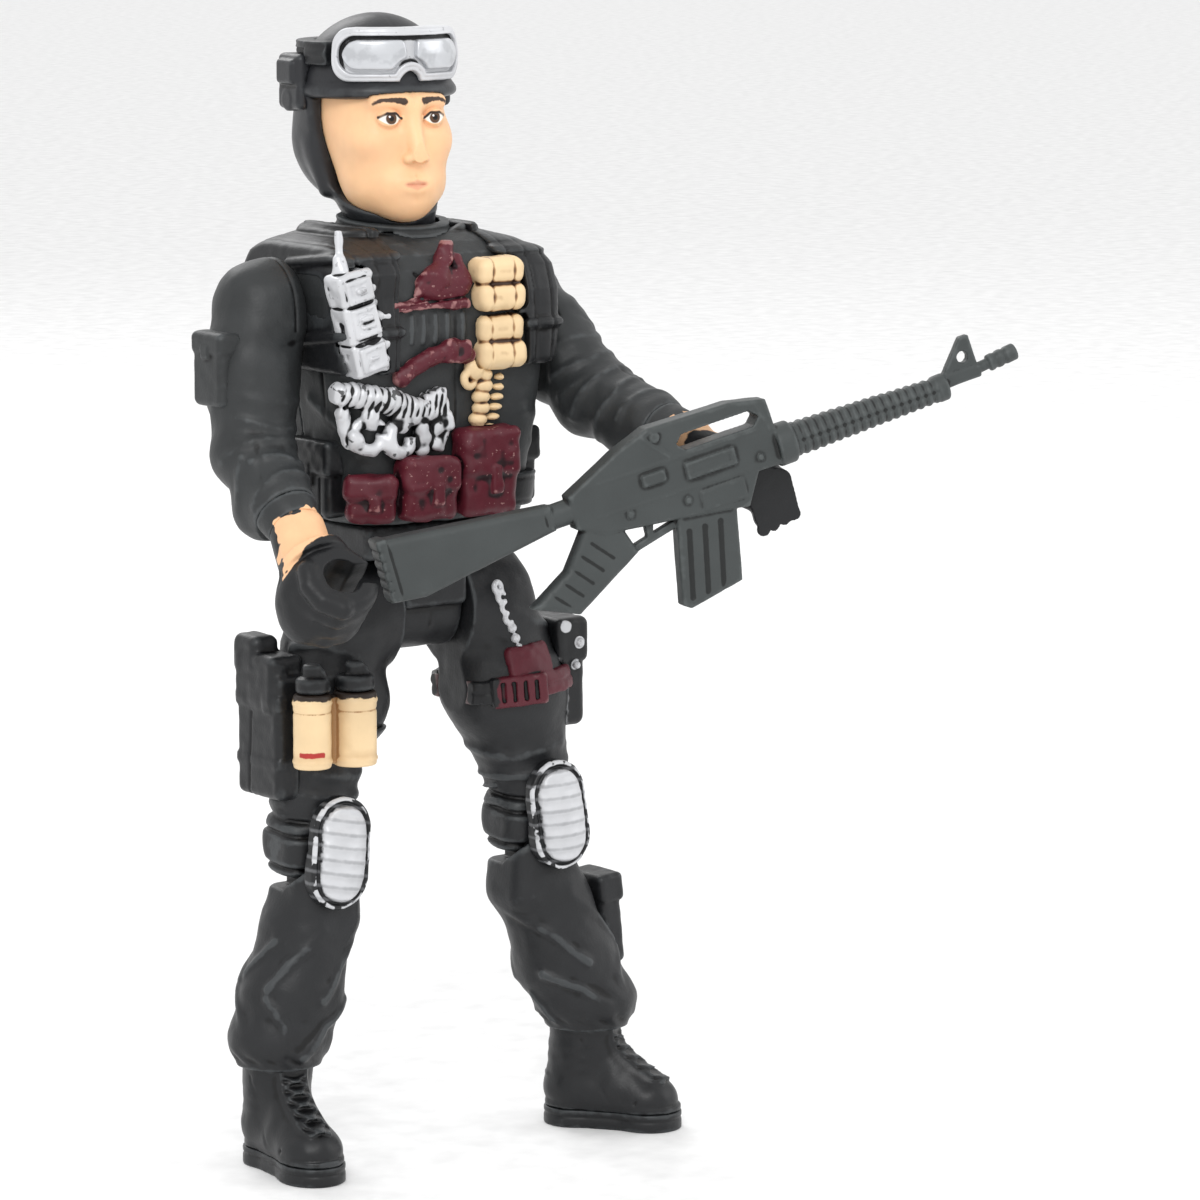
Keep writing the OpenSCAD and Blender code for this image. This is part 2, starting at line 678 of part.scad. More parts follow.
module rifle() color(gunmetal) rifle_place() {
    difference() {
        union() {
            slab(2.6) polygon([[0, 2.7], [15.4, 0.7], [15.4, -1.5], [3, -3.2], [0, -2.8]]);
            slab(1.8) polygon([[15.2, 0.5], [17.6, 0.5], [17.6, -1.4], [15.2, -1.4]]);
            slab(receiver_t) polygon([[17, 0.9], [22, 3.2], [25.2, 4.3], [32.8, 4.1], [36, 3.4],
                [36.2, 0.8], [36.6, -2.4], [33.8, -2.4], [32.2, -5], [25.6, -4], [19.4, -3.2], [17, -2]]);
            slab(2) polygon([[17.8, -2], [21, -3.2], [21.8, -5.6], [15.4, -9.1], [11.4, -7.3], [15.2, -5.2]]);
            slab(1) polygon([[21.4, -5.6], [25.8, -4.6], [25.8, -4], [21.6, -5]]);
            slab(0.9) polygon([[23, -3.4], [23.8, -3.5], [23.4, -4.9], [22.9, -5]]);
            slab(1.8) polygon([[25.8, -3.6], [24.2, -11.3], [24.9, -11.8], [29.9, -10.9], [31.2, -4.4]]);
            translate([35.9, 0, -0.95]) rotate([0, 90, 0]) cylinder(h = 1.7, r = 1.85, $fn = 32);
            translate([37.5, 0, -0.95]) rotate([0, 90, 0]) cylinder(h = 13.9, r1 = 1.5, r2 = 1.05, $fn = 32);
            slab(0.9) polygon([[51.6, -0.5], [54.4, 2.8], [55.2, 2.8], [55.4, -0.3]]);
            translate([51.2, 0, -0.8]) rotate([0, 84, 0]) cylinder(h = 5.4, r = 0.5, $fn = 24);
            translate([56.4, 0, -0.25]) rotate([0, 84, 0]) cylinder(h = 2.7, r = 0.75, $fn = 24);
        }
        // slot of the carry handle
        slab(6) hull() for (x = [28.6, 34.1]) translate([x, 2.1]) circle(0.6, $fn = 24);
        // window of the front sight
        slab(6) translate([54.2, 1.1]) circle(0.5, $fn = 24);
    }
}

placed() face();
placed() hood();
placed() ear_cups();
placed() goggle_frame();
placed() goggle_lens();
placed() goggle_strap();
placed() torso_front();
placed() torso_back();
placed() torso_screw();
placed() neck_post();
placed() collar();
placed() shoulder_straps();
placed() chest_radio();
placed() belly_gear();
placed() upper_chest_strap();
placed() lower_chest_strap();
placed() chest_pouches();
placed() tan_cord_bundle();
placed() belt();
placed() belt_pouches();
placed() side_pouches();
placed() right_shoulder_peg();
placed() left_shoulder_peg();
placed() right_sleeve();
placed() left_sleeve();
placed() sleeve_pocket();
placed() right_wrist();
placed() left_wrist();
placed() right_glove();
placed() left_glove();
placed() pelvis_block();
placed() waist_post();
placed() hip_pin();
placed() right_thigh();
placed() left_thigh();
placed() holster();
placed() canisters();
placed() canister_caps();
placed() right_thigh_strap();
placed() left_thigh_strap();
placed() thigh_pouch();
placed() hip_chain();
placed() right_knee_pin();
placed() left_knee_pin();
placed() right_calf();
placed() left_calf();
placed() right_knee_pad();
placed() left_knee_pad();
placed() calf_pouch();
placed() right_boot();
placed() left_boot();
placed() right_sole();
placed() left_sole();
placed() rifle();
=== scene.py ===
"""Looks of the articulated toy soldier, sculpted round its CAD frame.

Shapes are distance fields in millimetres, about the pelvis: -Y is the front, +X the figure's
left, Z = 0 the ground. Each piece is one field, meshed with OpenVDB and moved to the row frame.
"""
import json
import math
from concurrent.futures import ThreadPoolExecutor

import bpy
import numpy as np
import openvdb
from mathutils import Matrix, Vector


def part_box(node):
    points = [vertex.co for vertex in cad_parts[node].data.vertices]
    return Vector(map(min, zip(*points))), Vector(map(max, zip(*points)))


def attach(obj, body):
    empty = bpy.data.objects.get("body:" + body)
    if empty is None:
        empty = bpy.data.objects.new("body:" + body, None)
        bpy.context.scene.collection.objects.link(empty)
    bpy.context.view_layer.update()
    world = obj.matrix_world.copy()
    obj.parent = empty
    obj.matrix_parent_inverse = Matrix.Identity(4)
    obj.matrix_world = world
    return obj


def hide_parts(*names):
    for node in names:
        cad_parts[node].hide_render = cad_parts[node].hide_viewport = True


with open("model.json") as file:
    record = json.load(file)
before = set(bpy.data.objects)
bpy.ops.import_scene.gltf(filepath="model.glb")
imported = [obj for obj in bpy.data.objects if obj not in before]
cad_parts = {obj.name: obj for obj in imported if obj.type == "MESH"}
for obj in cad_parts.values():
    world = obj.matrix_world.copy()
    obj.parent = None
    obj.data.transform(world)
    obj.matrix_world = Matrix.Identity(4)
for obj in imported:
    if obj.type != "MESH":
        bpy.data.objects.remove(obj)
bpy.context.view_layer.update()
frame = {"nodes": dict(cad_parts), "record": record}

MM = 0.001
FINE = 1.0  # voxel multiplier
JOINTS = {j["name"]: j for j in frame["record"]["behaviour"]["joints"]}
HIP_Y = -1.0  # the hip axis lies this far in front of the pelvis origin


def row(name):
    """A joint's place in the row frame, in mm."""
    return np.array(JOINTS[name]["pos_m"]) / MM


ORIGIN = (row("right_hip") + row("left_hip")) / 2
ORIGIN = np.array((ORIGIN[0], ORIGIN[1] - HIP_Y, 0.0))


def place(name):
    """A joint's place about the pelvis, in mm."""
    return row(name) - ORIGIN


def box(node):
    """Middle and half size of a CAD node, about the pelvis, in mm."""
    lo, hi = (np.array(v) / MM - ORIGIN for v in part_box(node))
    return (lo + hi) / 2, (hi - lo) / 2


# ---- skeleton ----

SHOULDER_Z = place("right_shoulder")[2]
WRIST, KNEE, HIP = ({s: place(f"{s}_{joint}") for s in ("right", "left")}
                    for joint in ("wrist_swivel", "knee", "hip"))
SIDE = {"right": -1, "left": 1}
ELBOW = {"right": np.array((-16.6, -2.2, 62.0)), "left": np.array((15.3, -7.0, 65.2))}
ANKLE = {"right": np.array((-14.4, -2.0, 9.0)), "left": np.array((15.9, -5.0, 9.0))}
TOE_OUT = {"right": -5.0, "left": 38.0}
HEAD_AT = np.array((-0.8, 2.3, 0.0))
HEAD_TURN = -7.0
HEAD_SCALE, HEAD_FIXED = 1.06, 90.0  # the head is drawn a little small and grown about this height
NECK_Y = place("neck_swivel")[1]
BUTT = np.array((-11.7, -14.3, 52.9))
RIFLE_HEADING, RIFLE_RISE = 17.5, 16.3
GRIP_R = 1.7
RIGHT_HAND = np.array((-16.5, -14.3, 51.2))


GAP = 0.02  # between a piece and what it sits on
ROOM = 0.05  # between two pieces side by side


# ---- distance fields ----

def vec(*v):
    return np.array(v, float)


def unit(v):
    return np.array(v, float) / np.linalg.norm(v)


def turn_z(deg):
    """Axes of a frame turned about Z, as columns."""
    a = math.radians(deg)
    return np.array(((math.cos(a), -math.sin(a), 0), (math.sin(a), math.cos(a), 0), (0, 0, 1)))


def turn_x(deg):
    a = math.radians(deg)
    return np.array(((1, 0, 0), (0, math.cos(a), -math.sin(a)), (0, math.sin(a), math.cos(a))))


def turn_y(deg):
    a = math.radians(deg)
    return np.array(((math.cos(a), 0, math.sin(a)), (0, 1, 0), (-math.sin(a), 0, math.cos(a))))


def local(p, at, axes=None):
    """The points p in a frame at a place, whose axes are a matrix's columns."""
    q = [p[i] - np.float32(at[i]) for i in range(3)]
    if axes is None:
        return q
    axes = np.asarray(axes, np.float32)
    return [q[0] * axes[0, i] + q[1] * axes[1, i] + q[2] * axes[2, i] for i in range(3)]


def length(*q):
    return np.sqrt(sum(v * v for v in q) + np.float32(1e-12))


def ball(p, at, r):
    return length(*local(p, at)) - r


def egg(p, at, radii, axes=None):
    q = local(p, at, axes)
    k0 = length(*(q[i] / radii[i] for i in range(3)))
    k1 = length(*(q[i] / radii[i] ** 2 for i in range(3)))
    return k0 * (k0 - 1) / (k1 + 1e-6)


def limb(p, a, b, ra, rb):
    """A rounded, tapered rod from a to b."""
    a, b = np.asarray(a, float), np.asarray(b, float)
    d = b - a
    q = local(p, a)
    t = np.clip((q[0] * d[0] + q[1] * d[1] + q[2] * d[2]) / (d @ d), 0, 1).astype(np.float32)
    return length(*(q[i] - t * np.float32(d[i]) for i in range(3))) - (ra + (rb - ra) * t)


def path(p, points, r, r_end=None):
    """A rounded rod through several points."""
    r_end = r if r_end is None else r_end
    n = len(points) - 1
    return join(*(limb(p, points[i], points[i + 1], r + (r_end - r) * i / n, r + (r_end - r) * (i + 1) / n)
                  for i in range(n)))


def block(p, at, half, r=0.3, axes=None):
    """A rounded box."""
    q = local(p, at, axes)
    q = [np.abs(q[i]) - np.float32(half[i] - r) for i in range(3)]
    out = length(*(np.maximum(v, 0) for v in q))
    return out + np.minimum(np.maximum(np.maximum(q[0], q[1]), q[2]), 0) - r


def rod(p, a, b, radius, r=0.15):
    """A straight cylinder from a to b, with softened edges."""
    a, b = np.asarray(a, float), np.asarray(b, float)
    d = unit(b - a)
    half = np.linalg.norm(b - a) / 2
    q = local(p, (a + b) / 2)
    along = q[0] * d[0] + q[1] * d[1] + q[2] * d[2]
    out = length(*(q[i] - along * np.float32(d[i]) for i in range(3))) - np.float32(radius - r)
    along = np.abs(along) - np.float32(half - r)
    return length(np.maximum(out, 0), np.maximum(along, 0)) + np.minimum(np.maximum(out, along), 0) - r


def ring(p, at, axis, radius, r):
    """A torus."""
    axis = unit(axis)
    q = local(p, at)
    along = q[0] * axis[0] + q[1] * axis[1] + q[2] * axis[2]
    across = length(*(q[i] - along * np.float32(axis[i]) for i in range(3)))
    return length(across - radius, along) - r


def outline(u, v, points):
    """Signed distance to a polygon in a plane."""
    pts = np.asarray(points, np.float32)
    dist = None
    sign = None
    for i in range(len(pts)):
        a, b = pts[i], pts[i - 1]
        eu, ev = b - a
        wu, wv = u - a[0], v - a[1]
        t = np.clip((wu * eu + wv * ev) / (eu * eu + ev * ev), 0, 1)
        d = (wu - eu * t) ** 2 + (wv - ev * t) ** 2
        c1, c2, c3 = v >= a[1], v < b[1], eu * wv > ev * wu
        flip = np.where((c1 & c2 & c3) | (~c1 & ~c2 & ~c3), -1.0, 1.0).astype(np.float32)
        dist = d if dist is None else np.minimum(dist, d)
        sign = flip if sign is None else sign * flip
    return sign * np.sqrt(dist)


def slab(q, points, thick, r=0.2):
    """A flat piece in a local frame: its outline in X and Z, its thickness along Y."""
    d = outline(q[0], q[2], points) + r
    w = np.abs(q[1]) - np.float32(thick / 2 - r)
    return length(np.maximum(d, 0), np.maximum(w, 0)) + np.minimum(np.maximum(d, w), 0) - r


def join(*ds, k=0.0):
    """The union of fields, blended over a width k."""
    out = ds[0]
    for d in ds[1:]:
        if k > 0:
            h = np.maximum(k - np.abs(out - d), 0) / k
            out = np.minimum(out, d) - h * h * k * 0.25
        else:
            out = np.minimum(out, d)
    return out


def meet(*ds, k=0.0):
    return -join(*(-d for d in ds), k=k)


def cut(a, *others, k=0.0):
    return meet(a, *(-b for b in others), k=k)


def bell(x, width):
    """1 at zero, falling away on both sides: the section of a groove or ridge."""
    return np.exp(-(x / width) ** 2)


def bump_line(p, d, points, width, height):
    """Raises (or, with a negative height, sinks) the surface along a line of points."""
    near = path(p, points, 0.0)
    return d - np.float32(height) * bell(near, np.float32(width))


def lattice(seed):
    return np.random.default_rng(seed).uniform(-1, 1, (16, 16, 16)).astype(np.float32)


def noise(p, size, seed=1):
    """Smooth noise from -1 to 1, with lumps of about that size in mm."""
    table = lattice(seed)
    i, f = [], []
    for v in np.broadcast_arrays(*p):
        c = v / np.float32(size)
        whole = np.floor(c)
        part = (c - whole).astype(np.float32)
        i.append(whole.astype(np.int32))
        f.append(part * part * (3 - 2 * part))
    out = 0
    for corner in range(8):
        o = [(corner >> n) & 1 for n in range(3)]
        w = 1
        for n in range(3):
            w = w * (f[n] if o[n] else 1 - f[n])
        out = out + w * table[tuple((i[n] + o[n]) & 15 for n in range(3))]
    return out


class Limb:
    """Places on a round limb: t runs along it, and the angle from the front towards +X."""

    def __init__(self, a, b, ra, rb):
        self.a, self.b, self.ra, self.rb = np.asarray(a, float), np.asarray(b, float), ra, rb
        d = unit(self.b - self.a)
        front = vec(0, -1, 0)
        self.front = unit(front - d * (front @ d))
        side = vec(1, 0, 0)
        side = side - d * (side @ d)
        self.side = unit(side - self.front * (side @ self.front))

    def at(self, t, deg):
        c, s = math.cos(math.radians(deg)), math.sin(math.radians(deg))
        r = self.ra + (self.rb - self.ra) * t
        return self.a + (self.b - self.a) * t + r * (c * self.front + s * self.side)

    def line(self, *stops):
        """A line over the limb through (t, angle) stops, filled in so that it stays on it."""
        out = []
        for (t0, a0), (t1, a1) in zip(stops, stops[1:]):
            n = max(2, int(abs(a1 - a0) / 18) + 1)
            out += [self.at(t0 + (t1 - t0) * i / n, a0 + (a1 - a0) * i / n) for i in range(n)]
        return out + [self.at(*stops[-1])]


def folds(p, d, shape, lines):
    """Cloth folds: each is (stops, width, height)."""
    for stops, width, height in lines:
        d = bump_line(p, d, shape.line(*stops), width, height)
    return d


# ---- meshing ----

def smoothed(d, n):
    """Box blur of a grid, n cells each way."""
    for axis in range(3):
        pad = [(0, 0)] * 3
        pad[axis] = (n + 1, n)
        c = np.cumsum(np.pad(d, pad, mode="edge"), axis=axis, dtype=np.float32)
        w = 2 * n + 1
        hi = [slice(None)] * 3
        lo = [slice(None)] * 3
        hi[axis], lo[axis] = slice(w, None), slice(None, -w)
        d = (c[tuple(hi)] - c[tuple(lo)]) / w
    return d


def sample(grid, points):
    """Trilinear values of a grid at points given in cells."""
    size = np.array(grid.shape) - 2
    base = np.clip(np.floor(points).astype(int), 0, size)
    f = (points - base).astype(np.float32)
    out = 0
    for corner in range(8):
        o = np.array([(corner >> n) & 1 for n in range(3)])
        w = np.prod(np.where(o, f, 1 - f), axis=1)
        out = out + w * grid[tuple((base + o).T)]
    return out


def largest_parts(count, quads, keep=0.02):
    """Which quads belong to parts that aren't specks."""
    label = np.arange(count)
    pairs = np.concatenate([quads[:, (0, 1)], quads[:, (1, 2)], quads[:, (2, 3)], quads[:, (3, 0)]])
    while True:
        low = np.minimum(label[pairs[:, 0]], label[pairs[:, 1]])
        new = label.copy()
        np.minimum.at(new, pairs[:, 0], low)
        np.minimum.at(new, pairs[:, 1], low)
        new = new[new]
        if (new == label).all():
            break
        label = new
    names, where, sizes = np.unique(label[quads[:, 0]], return_inverse=True, return_counts=True)
    return sizes[where] > keep * sizes.max()


def mesh_data(name, lo, hi, field, voxel=0.15, paint=None, detail=None):
    """Evaluates a field on a grid and returns the surface with its curvature and paint values."""
    h = voxel * FINE
    lo, hi = np.asarray(lo, float) - 2 * h, np.asarray(hi, float) + 2 * h
    axes = [np.arange(lo[i], hi[i] + h, h, dtype=np.float32) for i in range(3)]
    p = (axes[0][:, None, None], axes[1][None, :, None], axes[2][None, None, :])
    d = np.array(np.broadcast_to(field(p), [len(a) for a in axes]), dtype=np.float32)
    if detail is not None:
        band = np.nonzero(np.abs(d) < 0.9 + 2 * h)
        q = tuple(axes[i][band[i]] for i in range(3))
        d[band] = detail(q, d[band])
    reach = 6 * h
    d = np.clip(d, -reach, reach)
    for axis in range(3):  # the surface is always closed inside its grid
        edge = [slice(None)] * 3
        for end in (0, -1):
            edge[axis] = end
            d[tuple(edge)] = reach
    grid = openvdb.FloatGrid(reach)
    grid.copyFromArray(d)
    points, quads = grid.convertToQuads(0.0)
    quads = quads.astype(np.int64)
    quads = quads[largest_parts(len(points), quads)]
    used, quads = np.unique(quads, return_inverse=True)
    quads = quads.reshape(-1, 4)
    points = points[used]
    curve = sample(smoothed(d, max(1, round(0.4 / h))), points)
    place_mm = points * h + lo
    values = {"curve": curve}
    if paint:
        values.update(paint(tuple(place_mm[:, i].astype(np.float32) for i in range(3))))
    return name, (place_mm + ORIGIN) * MM, quads, values


def make_object(data):
    """A Blender object from mesh data."""
    name, verts, quads, values = data
    mesh = bpy.data.meshes.new(name)
    mesh.vertices.add(len(verts))
    mesh.vertices.foreach_set("co", verts.astype(np.float32).ravel())
    mesh.loops.add(quads.size)
    mesh.loops.foreach_set("vertex_index", quads.astype(np.int32).ravel())
    mesh.polygons.add(len(quads))
    mesh.polygons.foreach_set("loop_start", np.arange(0, quads.size, 4, dtype=np.int32))
    mesh.update(calc_edges=True)
    mesh.polygons.foreach_set("use_smooth", np.ones(len(quads), bool))
    for key, value in values.items():
        layer = mesh.attributes.new(key, "FLOAT", "POINT")
        layer.data.foreach_set("value", np.ascontiguousarray(value, dtype=np.float32))
    mesh.validate()
    obj = bpy.data.objects.new(name, mesh)
    bpy.context.scene.collection.objects.link(obj)
    return obj


JOBS = []
BODY_OF = {n: b for b, nodes in frame["record"]["behaviour"]["bodies"].items() for n in nodes}


def sculpt(node, field, material, grow=1.0, **extra):
    """Queues the piece that stands for a CAD node. It may stand out of the node's box by grow, in mm."""
    mid, half = box(node)
    JOBS.append((node, mid - half - grow, mid + half + grow, field, material, extra))


def build_all():
    """Meshes the queued pieces on all cores, then makes them in order."""
    def run(job):
        node, lo, hi, field, extra = job[0], job[1], job[2], job[3], job[5]
        return mesh_data(f"{node}_piece", lo, hi, field, **extra)

    with ThreadPoolExecutor(4) as pool:
        made = list(pool.map(run, JOBS))
    for job, data in zip(JOBS, made):
        obj = make_object(data)
        obj.data.materials.append(job[4])
        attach(obj, BODY_OF[job[0]])
        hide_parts(job[0])


# ---- materials ----

def linear(r, g, b):
    """A colour written as sRGB, 0 to 255."""
    return tuple((v / 255 / 12.92) if v <= 10 else ((v / 255 + 0.055) / 1.055) ** 2.4
                 for v in (r, g, b)) + (1,)


class Finish:
    """A procedural material built up in layers over a base colour."""

    def __init__(self, name, colour, rough, metallic=0.0, grain=0.25, coat=0.0, subsurface=0.0, cloud=0.22):
        self.mat = bpy.data.materials.new(name)
        self.mat.use_nodes = True
        self.nodes, self.links = self.mat.node_tree.nodes, self.mat.node_tree.links
        self.shader = self.nodes["Principled BSDF"]
        for socket, value in {"Metallic": metallic, "Specular IOR Level": 0.35, "Coat Weight": coat,
                              "Coat Roughness": 0.35,
                              "Subsurface Weight": subsurface, "Subsurface Radius": (0.0012, 0.0005, 0.0003),
                              "Subsurface Scale": 1.0}.items():
            self.shader.inputs[socket].default_value = value
        self.coords = self.nodes.new("ShaderNodeTexCoord").outputs["Object"]
        self.curve = self.attribute("curve")
        cloudy = self.noise(260, 3)
        dark = tuple(v * (1 - cloud) for v in colour[:3]) + (1,)
        light = tuple(min(1, v * (1 + cloud)) for v in colour[:3]) + (1,)
        self.colour = self.mix(cloudy, dark, light)
        self.rough = self.math("ADD", rough - 0.09, self.math("MULTIPLY", self.noise(900, 3), 0.18))
        self.metal = None
        bump = self.nodes.new("ShaderNodeBump")
        bump.inputs["Strength"].default_value = grain
        bump.inputs["Distance"].default_value = 0.00006
        self.links.new(self.noise(4200, 4), bump.inputs["Height"])
        self.links.new(bump.outputs["Normal"], self.shader.inputs["Normal"])

    def attribute(self, name):
        node = self.nodes.new("ShaderNodeAttribute")
        node.attribute_name = name
        return node.outputs["Fac"]

    def noise(self, scale, detail=2.0):
        node = self.nodes.new("ShaderNodeTexNoise")
        node.inputs["Scale"].default_value = scale
        node.inputs["Detail"].default_value = detail
        self.links.new(self.coords, node.inputs["Vector"])
        return node.outputs["Fac"]

    def put(self, value, socket):
        if isinstance(value, (int, float, tuple)):
            socket.default_value = value
        else:
            self.links.new(value, socket)

    def math(self, kind, a, b):
        node = self.nodes.new("ShaderNodeMath")
        node.operation = kind
        self.put(a, node.inputs[0])
        self.put(b, node.inputs[1])
        return node.outputs[0]

    def ramp(self, value, lo, hi):
        """0 below lo to 1 above hi; falling if lo is the larger."""
        node = self.nodes.new("ShaderNodeMapRange")
        node.interpolation_type = "SMOOTHSTEP"
        self.put(value, node.inputs["Value"])
        a, b = min(lo, hi), max(lo, hi)
        start, end = (0, 1) if lo < hi else (1, 0)
        node.inputs["From Min"].default_value, node.inputs["From Max"].default_value = a, b
        node.inputs["To Min"].default_value, node.inputs["To Max"].default_value = start, end
        return node.outputs["Result"]

    def mix(self, fac, a, b):
        node = self.nodes.new("ShaderNodeMix")
        node.data_type = "RGBA"
        self.put(fac, node.inputs[0])
        self.put(a, node.inputs[6])
        self.put(b, node.inputs[7])
        return node.outputs[2]

    def over(self, fac, colour, rough=None, metallic=None):
        """Lays a paint over what is there, where fac is 1."""
        dark = tuple(v * 0.85 for v in colour[:3]) + (1,)
        light = tuple(min(1, v * 1.08) for v in colour[:3]) + (1,)
        self.colour = self.mix(fac, self.colour, self.mix(self.noise(700, 2), dark, light))
        if rough is not None:
            node = self.nodes.new("ShaderNodeMix")
            self.put(fac, node.inputs[0])
            self.put(self.rough, node.inputs[2])
            self.put(float(rough), node.inputs[3])
            self.rough = node.outputs[0]
        if metallic is not None:
            self.metal = self.math("MULTIPLY", fac, metallic)
        return self

    def border(self, name, wobble=0.15, soft=0.05, size=1500):
        """1 inside a painted patch whose signed distance, in mm, is the attribute name."""
        shaky = self.math("MULTIPLY", self.math("SUBTRACT", self.noise(size, 3), 0.5), wobble * 2)
        return self.ramp(self.math("ADD", self.attribute(name), shaky), soft, -soft)

    def grooves(self, colour, lo=-0.012, hi=-0.05, rough=None):
        """Darker colour in the hollows, going by curvature: painted shade in creases and recesses; under the
        silver paints, also the dark plastic that the paint left bare in the grooves.
        """
        shaky = self.math("MULTIPLY", self.math("SUBTRACT", self.noise(1700, 3), 0.5), 0.03)
        return self.over(self.ramp(self.math("ADD", self.curve, shaky), lo, hi), colour, rough)

    def edges(self, colour, lo=0.03, hi=0.1, share=1.0, size=1100):
        """A lighter colour on the ridges, patchy: a painted highlight (sheen) on the cloth and plastics, and
        on some paints also dry-brushed paint caught on the ridges.
        """
        patchy = self.math("MULTIPLY", self.math("SUBTRACT", self.noise(size, 3), 0.62), 0.16)
        fac = self.math("MULTIPLY", self.ramp(self.math("ADD", self.curve, patchy), lo, hi), share)
        return self.over(fac, colour)

    def speckle(self, colour, size=2600, share=0.7, lo=0.62, hi=0.72):
        return self.over(self.math("MULTIPLY", self.ramp(self.noise(size, 3), lo, hi), share), colour)

    def done(self):
        self.links.new(self.colour, self.shader.inputs["Base Color"])
        self.links.new(self.rough, self.shader.inputs["Roughness"])
        if self.metal is not None:
            self.links.new(self.metal, self.shader.inputs["Metallic"])
        return self.mat


CHARCOAL = linear(44, 46, 47)
BLACK = linear(24, 25, 27)
# DEEP: near black, the painted shade in creases and recesses; on the dry-brushed silver it is the bare black
# plastic in the grooves and flecks
DEEP = linear(8, 8, 9)
GREY_SHEEN = linear(84, 88, 90)
BURGUNDY = linear(84, 24, 36)
TAN = linear(226, 198, 156)
# a dark brown, the tan paint's painted shade in its deepest hollows
SHADE_BROWN = linear(58, 38, 26)
SILVER = linear(200, 201, 204)
SKIN = linear(240, 190, 146)
GUNMETAL = linear(60, 64, 64)
STEEL = linear(150, 150, 152)

# cloth, trousers, black gear and hood: edges(GREY_SHEEN) is a painted highlight (sheen) on the ridges,
# grooves(DEEP) painted shade in the creases and recesses
cloth = (Finish("charcoal cloth", CHARCOAL, 0.5, grain=0.4, cloud=0.5)
         .edges(GREY_SHEEN, share=0.45).grooves(DEEP).done())
trousers = (Finish("trouser cloth", linear(29, 30, 32), 0.46, grain=0.4, cloud=0.4)
            .edges(GREY_SHEEN, share=0.4).grooves(DEEP).done())
gear = Finish("black gear", BLACK, 0.42, grain=0.3).edges(GREY_SHEEN, share=0.3).grooves(DEEP).done()
hood_finish = (Finish("hood", linear(36, 37, 40), 0.4, grain=0.25)
               .edges(GREY_SHEEN, share=0.25).grooves(DEEP).done())
# Burgundy: darker burgundy painted as shade in the hollows; the pale ridges are partly a painted highlight
# and partly dry-brushed paint
burgundy = Finish("burgundy paint", BURGUNDY, 0.46).grooves(linear(34, 12, 18)).edges(
    linear(176, 128, 126), 0.07, 0.12, 0.6, 2300).speckle(linear(190, 150, 145), 3400, 0.5, 0.66, 0.72).done()
# Tan: painted shade in the hollows, a mid brown on flat and hollow parts and a dark brown in the deepest
tan = (Finish("tan paint", TAN, 0.42)
       .grooves(linear(158, 120, 82), 0.02, -0.03).grooves(SHADE_BROWN, -0.03, -0.06).done())
silver = Finish("silver paint", SILVER, 0.4, metallic=0.25).grooves(
    linear(22, 22, 24), -0.012, -0.035).speckle(linear(120, 120, 122), 1800, 0.5, 0.64, 0.7).done()
# Gunmetal rifle plastic: a painted highlight on the ridges and painted shade in the hollows
gunmetal = Finish("gunmetal plastic", GUNMETAL, 0.5, grain=0.35).edges(
    linear(96, 101, 101), share=0.35).grooves(linear(26, 28, 28), -0.01, -0.045).done()
steel = Finish("pin steel", STEEL, 0.3, metallic=0.95, grain=0.1).done()
rough_silver = (Finish("dry brushed silver", SILVER, 0.42, metallic=0.25)
                .grooves(DEEP, 0.02, -0.02).speckle(DEEP, 900, 0.85, 0.6, 0.64).done())
# Goggle lens: grey painted shade in its hollows
lens_finish = Finish("goggle lens", linear(196, 198, 202), 0.22, metallic=0.35, grain=0.05, coat=0.6).grooves(
    linear(90, 90, 94)).speckle(linear(150, 152, 155), 700, 0.35, 0.5, 0.62).done()


def skin_finish():
    f = Finish("skin vinyl", SKIN, 0.45, grain=0.12, subsurface=0.12)
    # darker skin painted as shade in the face's hollows
    f.grooves(linear(228, 172, 130), -0.02, -0.12)
    f.over(f.math("MULTIPLY", f.border("cheek", 0.3, 1.2, 500), 0.12), linear(240, 172, 140))
    f.over(f.math("MULTIPLY", f.border("lips", 0.03, 0.1), 0.65), linear(214, 146, 122))
    f.over(f.border("eye", 0.02), linear(240, 236, 228))
    f.over(f.border("iris", 0.02), linear(84, 58, 40), 0.25)
    f.over(f.border("pupil", 0.02), linear(20, 16, 14), 0.2)
    f.over(f.border("glint", 0.0, 0.03), linear(250, 250, 250), 0.2)
    f.over(f.border("lash", 0.03), linear(44, 30, 24), 0.4)
    f.over(f.border("brow", 0.1, 0.06, 3200), linear(62, 44, 34), 0.5)
    return f.done()


def arm_finish():
    """Bare skin-coloured plastic under cloth paint that stops raggedly, and the glove's paint."""
    f = Finish("painted arm", CHARCOAL, 0.5, grain=0.35, cloud=0.5)
    # a painted highlight (sheen) on the sleeve's ridges and painted shade in its creases
    f.edges(GREY_SHEEN, share=0.45).grooves(DEEP)
    f.over(f.border("bare", 0.5, 0.05, 700), SKIN, 0.45)
    f.over(f.border("glove", 0.25, 0.06, 1400), BLACK, 0.45)
    f.over(f.border("stud", 0.25, 0.06, 1500), SILVER, 0.4, 0.3)
    return f.done()


def pad_finish():
    f = Finish("knee pad", BLACK, 0.42, grain=0.2)
    worn = f.ramp(f.noise(900, 2), 0.47, 0.52)
    f.over(f.math("MULTIPLY", f.border("rim", 0.1, 0.05, 1500), worn), SILVER, 0.4)
    f.over(f.border("dome", 0.12, 0.05, 1800), SILVER, 0.42, 0.2)
    f.over(f.math("MULTIPLY", f.border("rib", 0.12, 0.12, 1500), 0.55), linear(128, 129, 132))
    return f.done()


